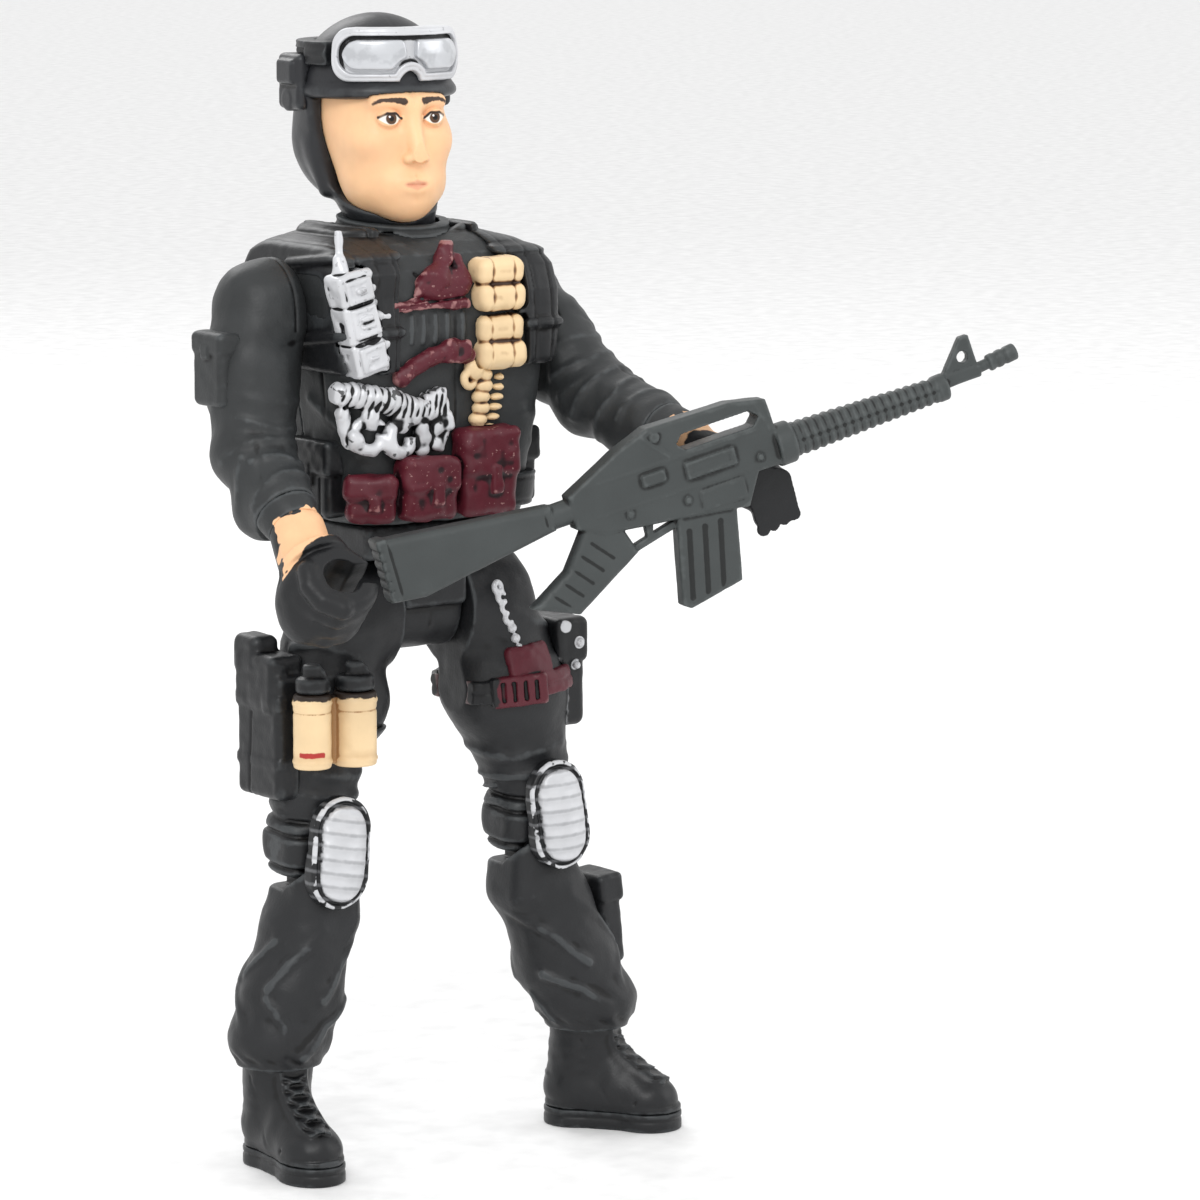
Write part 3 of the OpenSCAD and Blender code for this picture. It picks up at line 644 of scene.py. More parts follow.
def flecked_finish(name, base, paint, share=1.0, lo=0.03, hi=0.09):
    """Dark plastic with painted shade in its hollows and a lighter colour on its ridges (silver paint caught
    there on the flecked gear, a painted highlight on the strap webbing), and silver on its studs where it has
    any.
    """
    f = Finish(name, base, 0.42, grain=0.3).grooves(DEEP)
    f.edges(paint, lo, hi, share, 1300)
    f.over(f.border("stud", 0.06, 0.05, 2000), SILVER, 0.4, 0.3)
    return f.done()


def capped_finish():
    """Tan canister paint with a dark upper rim and one red mark low down."""
    # brown painted shade in the canisters' hollows
    f = Finish("canister paint", TAN, 0.4, grain=0.2).grooves(linear(160, 120, 80), -0.005, -0.04)
    f.over(f.math("MULTIPLY", f.border("shade", 0.35, 0.5, 900), 0.35), linear(176, 136, 92))
    # dark brown at the top of each canister, just under its cap
    f.over(f.border("smudge", 0.3, 0.06, 1600), linear(40, 30, 24), 0.45)
    f.over(f.border("mark", 0.15, 0.05, 1500), linear(170, 50, 45), 0.45)
    return f.done()


# ---- head ----

FAR = 9.0  # an attribute that isn't used on a piece stays this far outside its patch
HEAD_AXES = turn_z(HEAD_TURN)
GOGGLE_Z = 94.8  # the goggles' middle
PER_DEGREE = np.float32(6.6 * math.pi / 180)  # mm round the goggles for each degree
EYE = vec(1.95, -5.45, 89.7)  # half the head's height


def plain_paint(*names):
    """Patches that a piece's material knows but this piece doesn't have."""
    return lambda p: {name: np.full(p[0].shape, FAR) for name in names}


def in_head(p):
    q = local(p, HEAD_AT + vec(0, 0, HEAD_FIXED), HEAD_AXES)
    return [q[0] / HEAD_SCALE, q[1] / HEAD_SCALE, q[2] / HEAD_SCALE + HEAD_FIXED]


def mirror(q):
    """Folds a frame over its middle, so that what is built on +X shows on both sides."""
    return [np.abs(q[0]), q[1], q[2]]


def face_field(p):
    q = in_head(p)
    m = mirror(q)
    d = join(egg(q, (0, 0.3, 91.4), (4.9, 5.2, 5.3)), egg(q, (0, -1.5, 88.2), (4.75, 5.0, 5.4)),
             egg(q, (0, -2.5, 85.0), (3.7, 4.0, 3.5)), egg(m, (1.9, -3.0, 84.2), (1.9, 2.6, 1.9)), k=1.6)
    d = join(d, egg(q, (0, -5.1, 82.8), (1.7, 1.35, 1.35)), k=1.7)
    d = join(d, egg(m, (2.8, -4.3, 87.8), (1.2, 1.3, 1.2)), k=1.8)
    d = join(d, limb(m, (0.5, -6.15, 90.95), (2.9, -5.35, 91.0), 0.5, 0.42), k=1.3)
    d = cut(d, egg(m, (1.95, -6.75, 89.65), (1.3, 0.85, 0.75)), k=0.8)
    d = join(d, limb(q, (0, -6.1, 90.1), (0, -7.3, 87.0), 0.42, 0.62), k=0.9)
    d = join(d, egg(q, (0, -7.45, 86.75), (0.62, 0.6, 0.55)), egg(m, (0.72, -6.85, 86.5), (0.45, 0.6, 0.42)),
             k=0.35)
    d = join(d, egg(q, (0, -5.6, 84.4), (1.9, 1.2, 1.5)), k=1.0)
    return cut(d, rod(p, (0, NECK_Y, 76), (0, NECK_Y, 86), 1.95))


def face_detail(p, d):
    q = in_head(p)
    m = mirror(q)
    d = join(d, ball(m, EYE, 0.98), k=0.1)
    d = bump_line(m, d, [(1.05, -6.3, 89.75), (1.55, -6.45, 90.25), (2.3, -6.35, 90.28), (2.9, -5.9, 89.9)],
                  0.2, 0.2)
    d = bump_line(m, d, [(1.1, -6.3, 89.5), (1.8, -6.4, 89.15), (2.5, -6.25, 89.18), (2.9, -5.9, 89.5)], 0.18,
                  0.09)
    d = cut(d, ball(m, (0.38, -7.3, 86.2), 0.2), k=0.15)
    d = bump_line(m, d, [(1.0, -6.6, 86.3), (1.9, -6.1, 85.2)], 0.5, -0.05)
    d = bump_line(m, d, [(0.2, -6.9, 84.7), (0.45, -6.9, 84.78), (1.5, -6.3, 84.58)], 0.24, 0.2)
    d = bump_line(m, d, [(0.0, -6.85, 84.0), (0.7, -6.75, 84.04), (1.35, -6.3, 84.36)], 0.28, 0.24)
    d = bump_line(m, d, [(0.0, -7.0, 84.4), (0.8, -6.8, 84.42), (1.6, -6.3, 84.56)], 0.1, -0.16)
    d = bump_line(q, d, [(0, -7.0, 86.0), (0, -6.9, 85.1)], 0.22, -0.07)
    d = bump_line(m, d, [(0.0, -6.5, 83.3), (0.9, -6.2, 83.45)], 0.4, -0.12)
    return d + 0.012 * noise(q, 1.1, 5)


def almond(m, half, tall):
    """Signed distance in the face's plane to an eye's outline."""
    x, z = m[0] - np.float32(EYE[0]), m[2] - np.float32(EYE[2])
    lid = tall * (1 - np.minimum((x / half) ** 2, 1.5))
    return np.maximum(np.abs(z) - lid, np.abs(x) - half)


def face_paint(p):
    q = in_head(p)
    m = mirror(q)
    x, z = m[0], m[2]
    front = np.where(q[1] < -3.5, 0, FAR)
    gaze = np.sqrt((x - 1.95) ** 2 + (z - 89.72) ** 2)
    lash = np.abs(path(m, [(1.02, -6.3, 89.7), (1.5, -6.45, 90.13), (2.3, -6.35, 90.15), (2.95, -5.9, 89.8)],
                       0.0)) - 0.12
    brow = path(m, [(0.85, -6.5, 91.05), (1.7, -6.4, 91.25), (2.6, -6.0, 91.2), (3.2, -5.6, 90.9)], 0.3, 0.12)
    eye = almond(m, 0.98, 0.46) + front
    lips = path(m, [(0.0, -6.9, 84.4), (0.7, -6.8, 84.42), (1.55, -6.3, 84.52)], 0.44, 0.1)
    cheek = ball(m, (3.0, -5.2, 87.0), 0.9)
    glint = np.sqrt((q[0] - np.where(q[0] > 0, 1.78, -2.12)) ** 2 + (z - 89.88) ** 2) - 0.09 + front
    return {"eye": eye, "iris": np.maximum(gaze - 0.47 + front, eye + 0.03), "lash": lash, "brow": brow,
            "pupil": np.maximum(gaze - 0.22 + front, eye), "lips": lips, "cheek": cheek, "glint": glint}


def hood_solid(q, g=0.0):
    return join(ball(q, (0, 0.4, 91.8), 6.1 + g), egg(q, (0, 1.7, 91.0), (5.9 + g, 5.7 + g, 5.7 + g)),
                egg(q, (0, 2.9, 87.8), (5.75 + g, 5.8 + g, 5.7 + g)), k=1.2)


def hood_field(p):
    q = in_head(p)
    m = mirror(q)
    d = hood_solid(q)
    d = join(d, meet(ring(q, (0, 0.4, 91.7), (0, 0, 1), 5.9, 0.62), q[1] - 0.5), k=0.4)
    opening = np.maximum(q[2] - 91.15 - 0.5 * bell(q[0], 1.1), q[1] - 0.9 + 0.16 * (q[2] - 86))
    d = cut(d, opening, k=0.5)
    d = join(d, limb(m, (4.6, 1.5, 87), (4.1, 0.9, 83.8), 0.9, 0.8), k=1.0)
    neck = rod(p, (0, NECK_Y, 78.6), (0, NECK_Y, 86.8), 3.65, 0.4)
    chin_band = meet(egg(q, (0, -1.6, 83.6), (4.3, 4.3, 3.3)), q[2] - 83.2 - 0.35 * (q[1] + 1), k=0.4)
    d = join(d, neck, chin_band, k=0.8)
    return cut(d, face_field(p) - 0.03, rod(p, (0, NECK_Y, 76), (0, NECK_Y, 86), 1.95))


def hood_detail(p, d):
    q = in_head(p)
    d = bump_line(q, d, [(0, 0.4 + 6.3 * math.sin(a / 10), 91.8 + 6.3 * math.cos(a / 10))
                         for a in range(-6, 20)], 0.16, -0.1)
    d = bump_line(p, d, [(3.6 * math.sin(a / 4), NECK_Y - 3.6 * math.cos(a / 4), 81.9 + 0.3 * math.sin(a))
                         for a in range(26)],
                  0.25, -0.18)
    return d + 0.05 * noise(q, 2.1, 3) * (q[2] < 86)


def goggle_plane(q):
    """Angle round the head from the front in degrees, height from the goggles' middle, and radius."""
    y = q[1] - 0.4
    return np.degrees(np.arctan2(q[0], -y)), q[2] - GOGGLE_Z, np.sqrt(q[0] ** 2 + y * y)


def goggle_outline(deg, z, grow):
    """Rounded outline of the goggles, in mm round the head, with a notch over the nose."""
    s = np.abs(deg) * PER_DEGREE
    a, b = s - (6.8 + grow - 1.4), np.abs(z + 0.05) - (2.15 + grow - 1.4)
    d = length(np.maximum(a, 0), np.maximum(b, 0)) + np.minimum(np.maximum(a, b), 0) - 1.4
    notch = (1.0 - grow) - np.sqrt((s / 1.0) ** 2 + ((z + 2.5) / 1.15) ** 2)
    return np.maximum(d, notch)


def goggle_frame_field(p):
    q = in_head(p)
    deg, z, r = goggle_plane(q)
    lean = 6.75 - 0.055 * z * z - 0.1 * np.maximum(z, 0)
    band = np.abs(r - (lean - 1.1)) - 1.1
    d = meet(band, goggle_outline(deg, z, 0), k=0.35)
    inner = goggle_outline(deg, z, -0.62)
    d = cut(d, np.maximum(inner, lean - 0.55 - r), k=0.12)
    return cut(d, hood_solid(q, GAP))


def goggle_frame_detail(p, d):
    q = in_head(p)
    deg, z, r = goggle_plane(q)
    rim = goggle_outline(deg, z, -0.3)
    d = d + 0.09 * bell(rim, 0.1)
    return d + 0.02 * noise(q, 0.6, 8)


def goggle_lens_field(p):
    q = in_head(p)
    deg, z, r = goggle_plane(q)
    lean = 6.72 - 0.055 * z * z - 0.1 * np.maximum(z, 0)
    s = np.abs(deg) * PER_DEGREE
    panel = meet(goggle_outline(deg, z, -0.95), 0.42 - s + 0.14 * z, k=0.3)
    return cut(meet(np.abs(r - lean + 0.5) - 0.5, panel, k=0.25), hood_solid(q, GAP))


def goggle_strap_field(p):
    q = in_head(p)
    deg, z, r = goggle_plane(q)
    ribs = 0.1 * np.cos(z * 5.0)
    d = meet(r - (6.5 + ribs), np.abs(z) - 0.95, k=0.2)
    d = meet(d, (64.8 - np.abs(deg)) * PER_DEGREE)
    return cut(d, hood_solid(q, GAP), block(mirror(q), (6.7, 2.4, 92.6), (1.55, 2.2, 2.5), 0.1))


def ear_cup_field(p):
    q = mirror(in_head(p))
    q[0] = q[0] + 0.9  # the cups sit close in
    d = block(q, (6.7, 2.4, 92.4), (1.15, 2.0, 2.25), 0.5)
    d = join(d, block(q, (7.5, 2.4, 93.2), (0.75, 1.5, 1.0), 0.35), k=0.2)
    d = join(d, rod(q, (6.6, 2.6, 90.9), (7.9, 2.6, 90.9), 0.9, 0.2), k=0.2)
    d = bump_line(q, d, [(7.9, 0.2, 92.0), (7.9, 4.6, 92.0)], 0.14, -0.16)
    return cut(d, hood_solid(in_head(p), GAP))


skin = skin_finish()
sculpt("face", face_field, skin, voxel=0.09, detail=face_detail, paint=face_paint)
sculpt("hood", hood_field, hood_finish, grow=1.8, detail=hood_detail)
sculpt("goggle_frame", goggle_frame_field, silver, voxel=0.1, detail=goggle_frame_detail, grow=0.6)
sculpt("goggle_lens", goggle_lens_field, lens_finish, voxel=0.1, grow=0.8)
sculpt("goggle_strap", goggle_strap_field, gear, voxel=0.12)
sculpt("ear_cups", ear_cup_field, hood_finish, voxel=0.12)

# ---- torso ----

TORSO = ((55.5, 8.8, -7.2, 4.8), (60, 9.3, -7.5, 5.3), (66, 10.3, -7.8, 6.0), (72, 10.9, -7.9, 6.3),
         (75, 11.2, -7.6, 6.3),
         (77, 11.0, -6.9, 6.3), (78.2, 10.1, -5.9, 6.0), (79.1, 8.4, -4.5, 5.4), (79.8, 5.9, -2.8, 4.6))


def loft(p, levels, r, g=0.0):
    """A body through (z, half width, front, back) levels, with rounded corners, grown by g."""
    zs = [v[0] for v in levels]
    w, front, back = (np.interp(p[2], zs, [v[i] for v in levels]).astype(np.float32) for i in (1, 2, 3))
    x = np.abs(p[0]) - (w + g - r)
    y = np.abs(p[1] - (front + back) / 2) - ((back - front) / 2 + g - r)
    around = length(np.maximum(x, 0), np.maximum(y, 0)) + np.minimum(np.maximum(x, y), 0) - r
    return meet(around, np.abs(p[2] - (zs[0] + zs[-1]) / 2) - (zs[-1] - zs[0]) / 2 - g, k=0.5)


def torso_skin(p, g=0.0):
    """The outside of the torso, as every piece that sits on it follows it."""
    return loft(p, TORSO, 3.0, g)


def torso_field(side):
    def field(p):
        d = torso_skin(p)
        hollow = loft(p, ((60, 7.2, -5.6, 3.2), (77.3, 8, -5.4, 4.4)), 2)
        d = cut(d, hollow, rod(p, (-20, 0.6, SHOULDER_Z), (20, 0.6, SHOULDER_Z), 1.65),
                rod(p, (0, NECK_Y, 70), (0, NECK_Y, 90), 1.92), rod(p, (0, HIP_Y, 50), (0, HIP_Y, 62), 2.25),
                rod(p, (0, -6.2, 70), (0, 6.4, 70), 0.85), rod(p, (0, 4.6, 70), (0, 8.6, 70), 1.65))
        return meet(d, side * (0.6 - p[1]) + 0.01)
    return field


def torso_front_detail(p, d):
    d = bump_line(p, d, [(0.4, -7.9, 77), (0.2, -8, 72), (0.3, -7.9, 66), (0.2, -7.6, 60)], 0.16, -0.16)
    for x in (-4.2, -3.0, -1.8, -0.6, 1.0):
        d = bump_line(p, d, [(x, -8.0, 73.2), (x - 0.1, -8.0, 71.0)], 0.24, 0.24)
    for side in (-1, 1):
        lapel = [(side * 4.9, -1.8, 80.4), (side * 4.2, -3.8, 79.2), (side * 2.4, -5.6, 78.0),
                 (side * 0.9, -6.8, 76.4)]
        d = bump_line(p, d, lapel, 0.75, 0.5)
        d = bump_line(p, d, [(side * 5.0, -4.4, 78.8), (side * 3.2, -6.9, 76.6), (side * 1.4, -7.6, 75.4)],
                      0.2, -0.2)
        d = bump_line(p, d, [(side * 10.4, -3.5, 70), (side * 10.5, -3.8, 61)], 0.22, -0.18)
        d = bump_line(p, d, [(side * 10.6, -1.4, 66), (side * 9.8, -5.6, 63.8), (side * 7.5, -7.6, 64.6)],
                      0.55, 0.28)
        d = bump_line(p, d, [(side * 10.0, -1.4, 62.6), (side * 8.6, -6.4, 61.6)], 0.5, 0.24)
    return d + 0.07 * noise(p, 2.4, 11) + 0.03 * noise(p, 0.9, 12)


def torso_back_detail(p, d):
    d = bump_line(p, d, [(-8.5, 6.2, 75), (0, 6.5, 76), (8.5, 6.2, 75)], 0.22, -0.18)
    for side in (-1, 1):
        d = bump_line(p, d, [(side * 4.6, 6.4, 75.4), (side * 4.3, 6.2, 66), (side * 3.8, 5.2, 59.6)], 0.18,
                      -0.16)
        d = bump_line(p, d, [(side * 10.4, 2.4, 68), (side * 6.5, 6.1, 65), (side * 2.5, 6.1, 66)], 0.5, 0.26)
        d = bump_line(p, d, [(side * 9.8, 2.4, 63.6), (side * 5.5, 5.6, 61.8)], 0.5, 0.24)
    d = bump_line(p, d, [(-4.2, 6.3, 68.2), (4.2, 6.3, 68.2)], 0.16, -0.14)
    return d + 0.07 * noise(p, 2.4, 13) + 0.03 * noise(p, 0.9, 14)


def collar_field(p):
    around = length(p[0], p[1] - NECK_Y)
    d = meet(around - (5.1 - 0.1 * (p[2] - 79)), p[2] - 80.65 - 0.1 * p[1], 76.4 - p[2], k=0.5)
    return cut(d, rod(p, (0, NECK_Y, 76), (0, NECK_Y, 84), 4.05, 0.02), torso_skin(p, GAP))


def collar_detail(p, d):
    return d + 0.1 * np.cos((p[2] - 0.1 * p[1]) * 6.5) + 0.05 * noise(p, 1.4, 15)


def strap_field(p):
    m = mirror(p)
    thick = 0.95 + 1.05 * (p[0] < 0) * np.clip((p[2] - 75) / 2, 0,
                                               1)  # the right one is padded over the shoulder
    d = meet(torso_skin(p, thick), np.abs(m[0] - 8.4 + 0.2 * np.maximum(p[2] - 77, 0)) - 2.7, 68.5 - p[2],
             p[2] - 80.6 + 0.26 * np.maximum(m[0] - 6.0, 0), k=0.7)
    d = cut(d, torso_skin(p, GAP), rod(p, (-20, 0.6, SHOULDER_Z), (20, 0.6, SHOULDER_Z), 1.7))
    return cut(d, radio_case(p, ROOM), pouch_block(p, ROOM))


def strap_detail(p, d):
    m = mirror(p)
    for x in (6.2, 9.8):
        d = d + 0.2 * bell(m[0] - x, 0.12)
    d = d + 0.16 * bell(m[0] - 8.0, 0.14)
    for z in (78.2, 71.6):  # buckle bars
        d = d - 0.4 * np.exp(-((p[2] - z + 0.12 * (p[1] + 5)) / 0.42) ** 4) * (p[1] < 1)
    return d + 0.03 * noise(p, 0.7, 16)


def in_radio(p):
    return local(p, (-9.7, -7.8, 73.0), turn_y(-14))


def radio_case(p, g=0.0):
    return block(in_radio(p), (0, 0, 0), (1.75 + g, 1.4 + g, 4.6 + g), 0.4)


def radio_field(p):
    q = in_radio(p)
    d = join(radio_case(p, -0.1), rod(q, (-0.5, 0.1, 4.2), (0.6, 0.7, 7.9), 0.36, 0.1),
             limb(q, (-0.4, 0.1, 4.6), (-0.2, 0.2, 5.6), 0.75, 0.5), k=0.2)
    for z, tall in ((2.9, 1.0), (0.2, 1.3), (-3.0, 1.1)):
        d = join(d, block(q, (0.1, -1.4, z), (1.3, 0.25, tall), 0.2), k=0.15)
        d = cut(d, block(q, (0.1, -1.72, z), (0.85, 0.16, tall - 0.4), 0.1), k=0.1)
    for i in range(7):
        d = join(d, egg(q, (1.6 + 0.25 * (i % 2), -0.5, -3.6 + 1.25 * i), (0.5, 0.6, 0.5)), k=0.15)
    return cut(join(d, block(q, (2.2, -0.2, -1.4), (0.8, 0.7, 1.5), 0.3), k=0.25), torso_skin(p, GAP))


def radio_detail(p, d):
    q = in_radio(p)
    for z, wide in ((2.9, 0.45), (0.5, 0.6), (-0.2, 0.6), (-3.0, 0.4)):
        d = join(d, block(q, (0.1, -1.5, z), (wide, 0.3, 0.16), 0.1), k=0.1)
    for z in (1.7, -1.6):
        d = d + 0.16 * bell(q[2] - z, 0.12)
    return d + 0.12 * noise(p, 0.8, 17)


def belly_field(p):
    p = local(p, (-0.3, 0, -0.6))
    band = join(limb(p, (-10.5, -6.9, 67.6), (-6.6, -8.3, 66.9), 1.05, 1.15),
                limb(p, (-6.4, -8.3, 66.9), (-2.9, -8.5, 65.6), 1.1, 1.0), k=0.3)
    d = join(band, block(p, (-1.7, -8.2, 65.7), (1.15, 0.8, 1.9), 0.4, turn_y(-14)),
             egg(p, (-4.9, -8.5, 65.9), (1.5, 1.0, 1.3)), k=0.15)
    for x, y, z, lean in ((-8.4, -7.9, 64.0, -0.25),
                          (-5.5, -8.4, 63.6, 0.2)):  # a pair of open hooks on links
        hook = cut(ring(p, (x, y, z), (lean, -1, 0.15), 1.2, 0.55),
                   block(p, (x + 1.2, y, z + 0.5), (0.7, 1.5, 0.45), 0.1))
        d = join(d, hook, egg(p, (x + 0.1, y - 0.2, z + 1.5), (0.8, 0.7, 1.1)),
                 egg(p, (x - 1.2, y, z - 0.3), (0.75, 0.6, 0.9)), k=0.25)
    d = join(d, limb(p, (-3.4, -8.4, 65.0), (-3.1, -8.3, 62.6), 0.85, 0.7),
             block(p, (-1.6, -8.2, 63.3), (0.8, 0.7, 1.0), 0.35, turn_y(20)),
             limb(p, (-10.3, -6.9, 66.0), (-9.9, -7.0, 63.4), 0.65, 0.55), k=0.2)
    return cut(d, torso_skin(local(p, (0.3, 0, 0.6)), 0.02))


def belly_detail(p, d):
    across = p[0] * 0.96 - p[2] * 0.28
    return d + 0.05 * np.cos(across * 10.5) * (p[2] > 64.9) + 0.16 * noise(p, 0.75, 18)


def upper_strap_field(p):
    d = join(block(p, (-2.6, -7.75, 74.1), (4.1, 0.75, 0.42), 0.25),
             egg(p, (-0.6, -7.4, 75.7), (2.7, 1.15, 1.7)),
             limb(p, (-1.4, -7.7, 76.2), (0.3, -6.5, 79.0), 1.0, 0.6),
             limb(p, (1.2, -7.6, 75.8), (0.9, -7.1, 77.8), 0.7, 0.5),
             limb(p, (-4.4, -7.7, 74.2), (-2.6, -7.5, 76.2), 0.4, 0.5), k=0.35)
    return cut(d, torso_skin(p, GAP), pouch_block(p, ROOM), radio_case(p, ROOM))


def lower_strap_field(p):
    d = join(path(p, [(-5.4, -7.9, 68.0), (-3.2, -8.4, 69.6), (-0.8, -8.5, 70.4), (1.3, -8.1, 69.6)], 0.75),
             block(p, (-0.2, -8.4, 70.1), (1.3, 0.75, 0.9), 0.35), k=0.3)
    return cut(d, torso_skin(p, GAP), pouch_block(p, ROOM))


def webbing_detail(p, d):
    edge = 0.14 * bell(p[2] - 74.55 - 0.1 * p[0], 0.12)
    return d + edge + 0.22 * noise(p, 1.0, 19) + 0.05 * noise(p, 0.4, 24)


POUCH_ROWS = (75.6, 70.7)


def pouch_block(p, g=0.0):
    return join(*(block(p, (x, -8.1, z), (1.35 + g, 1.4 + g, 2.2 + g), 0.6) for z in POUCH_ROWS
                  for x in (3.1, 5.9)))


def chest_pouch_field(p):
    d = join(*(block(p, (4.4, -8.0 + 0.1 * lobe, z + lobe), (2.3 - 0.05 * lobe, 1.5, 1.22), 0.9)
               for z in POUCH_ROWS for lobe in (1.1, -1.1)), k=0.2)
    return cut(d, torso_skin(p, GAP))


def chest_pouch_detail(p, d):
    for x in (3.1, 5.3):
        d = d + 0.09 * bell(p[0] - x - 0.04 * (p[2] - 73), 0.14)
    return d + 0.1 * noise(p, 1.1, 20)


def cord_field(p):
    d = join(egg(p, (1.9, -8.2, 68.4), (0.95, 0.8, 1.0)),
             ring(p, (1.3, -8.3, 67.6), (0.3, -1, 0.1), 0.6, 0.36), k=0.2)
    for i in range(7):
        d = join(d, egg(p, (2.9 - 0.14 * i + 0.18 * (i % 2), -8.1, 67.9 - 0.95 * i), (0.85, 0.75, 0.6)),
                 k=0.12)
        d = join(d, egg(p, (4.9 - 0.24 * i, -7.9, 67.6 - 0.85 * i), (0.75, 0.6, 0.3)), k=0.1)
    return cut(d, torso_skin(p, GAP), pouch_block(p, 0.04), belt_pouch_block(p, 0.04))


def belt_field(p):
    d = meet(torso_skin(p, 0.65), np.abs(p[2] - 57.7) - 1.45, k=0.25)
    d = cut(d, torso_skin(p, GAP), belt_pouch_block(p, 0.04), side_pouch_block(p, 0.04))
    return d + 0.09 * bell(np.abs(p[2] - 57.7) - 1.0, 0.12)


BELT_POUCHES = ((-8, -7.2, -35, 4.6, 4.1), (-3.2, -8.6, 0, 5.6, 5.5),
                (2.8, -8.6, 0, 5.8, 7.6))  # x, y, turn, width, height
POUCH_FOOT = 55.9


def belt_pouch_block(p, g=0.0):
    return join(*(block(p, (x, y, POUCH_FOOT + h / 2), (w / 2 + g, 1.4 + g, h / 2 + g), 0.5, turn_z(turn))
                  for x, y, turn, w, h in BELT_POUCHES))


def belt_pouch_field(p):
    d = None
    for x, y, turn, w, h in BELT_POUCHES:
        q = local(p, (x, y, POUCH_FOOT), turn_z(turn))
        b = block(q, (0, 0.1, h * 0.47), (w / 2 - 0.1, 1.25, h * 0.47), 0.85)
        flap = block(q, (0, -0.1, h * 0.72), (w / 2, 1.4, h * 0.28), 0.75)
        tab = block(q, (0.3, -1.4, h * 0.42), (0.5, 0.25, h * 0.16), 0.2)
        b = join(b, flap, tab, k=0.25)
        d = b if d is None else np.minimum(d, b)
    return cut(d, torso_skin(p, GAP))


def side_pouch_block(p, g=0.0):
    return block(mirror(p), (9.6, -1.8, 59.4), (1.5 + g, 3.3 + g, 3.3 + g), 0.6)


def side_pouch_field(p):
    m = mirror(p)
    d = block(m, (9.5, -1.8, 58.9), (1.35, 3.0, 2.8), 0.6)
    d = join(d, block(m, (9.65, -1.8, 61.2), (1.5, 3.3, 1.5), 0.5),
             block(m, (11.0, -1.8, 59.7), (0.25, 0.7, 1.0), 0.15), k=0.15)
    for y in (-3.6, 0.0):
        d = d + 0.14 * bell(p[1] - y, 0.12) * (p[2] < 59.6)
    return cut(d, torso_skin(p, GAP))


def fine_noise(seed, size=0.7, height=0.04):
    def detail(p, d):
        return d + height * noise(p, size, seed)
    return detail


# the webbing's grey ridges are a painted highlight (sheen), its darker hollows painted shade
strap_finish = flecked_finish("strap webbing", linear(26, 27, 29), GREY_SHEEN, 0.3, 0.1, 0.2)
sculpt("torso_front", torso_field(-1), cloth, detail=torso_front_detail)
sculpt("torso_back", torso_field(1), cloth, detail=torso_back_detail)
sculpt("collar", collar_field, cloth, voxel=0.12, detail=collar_detail)
sculpt("shoulder_straps", strap_field, strap_finish, grow=2.0, detail=strap_detail, paint=plain_paint("stud"))
sculpt("chest_radio", radio_field, silver, grow=2.5, voxel=0.1, detail=radio_detail)
sculpt("belly_gear", belly_field, rough_silver, voxel=0.1, detail=belly_detail)
sculpt("upper_chest_strap", upper_strap_field, burgundy, grow=4.0, voxel=0.1, detail=webbing_detail)
sculpt("lower_chest_strap", lower_strap_field, burgundy, voxel=0.1, detail=webbing_detail)
sculpt("chest_pouches", chest_pouch_field, tan, voxel=0.11, detail=chest_pouch_detail)
sculpt("tan_cord_bundle", cord_field, tan, voxel=0.1, detail=fine_noise(21, 0.5))
sculpt("belt", belt_field, gear, voxel=0.13)
sculpt("belt_pouches", belt_pouch_field, burgundy, grow=2.0, voxel=0.12, detail=fine_noise(22, 0.9, 0.16))
sculpt("side_pouches", side_pouch_field, gear, voxel=0.13, detail=fine_noise(23))

# ---- arms ----

SHOULDER_MID = {"right": vec(-14.0, 0.6, SHOULDER_Z - 0.9), "left": vec(13.2, 2.0, SHOULDER_Z - 0.9)}
SHOULDER_IN = 11.55  # where each sleeve's flat inner face lies
RIFLE_AXES = turn_z(-RIFLE_HEADING) @ turn_y(-RIFLE_RISE)


def beyond(p, at, to):
    """Negative on the far side of a plane at a point, facing along a direction."""
    d = unit(np.asarray(to) - np.asarray(at))
    q = local(p, at)
    return -(q[0] * d[0] + q[1] * d[1] + q[2] * d[2])


def cuff_at(side):
    return ELBOW[side] + 0.8 * (WRIST[side] - ELBOW[side])


def sleeve_field(side):
    s, top, elbow, wrist = SIDE[side], SHOULDER_MID[side], ELBOW[side], WRIST[side]
    bulge = {"right": (elbow + wrist) / 2 + vec(0.1, 1.2, -1.5),
             "left": (elbow + wrist) / 2 + vec(0.2, 0.6, -0.8)}[side]
    biceps = {"right": vec(-16.0, -0.5, 68.4), "left": vec(14.0, -2.4, 69.0)}[side]
    r = {"right": 3.7, "left": 3.35}[side]

    def field(p):
        cap = rod(p, (s * SHOULDER_IN, 0.6, SHOULDER_Z - 0.4), (s * 13.4, 0.8, SHOULDER_Z - 0.5), 3.9, 1.5)
        d = join(cap, egg(p, top, (r, r + 0.1, r + 0.4)), limb(p, top, elbow, r, 3.35),
                 egg(p, biceps, (r + 0.1, r + 0.3, 4.8)), k=1.5)
        d = join(d, limb(p, elbow, elbow + 0.7 * (wrist - elbow), 3.3, 2.9),
                 ball(p, elbow + vec(0.35 - 0.35 * s, 0.6, -0.4), 3.0),
                 ball(p, bulge, 2.95), k=1.0)
        d = join(d, limb(p, elbow, wrist, 2.9, 2.5), k=0.3)
        d = cut(d, s * p[0] - SHOULDER_IN,
                rod(p, (s * 10, 0.6, SHOULDER_Z), (s * 15.02, 0.6, SHOULDER_Z), 1.63, 0.02))
        return cut(d, beyond(p, cuff_at(side), wrist))
    return field


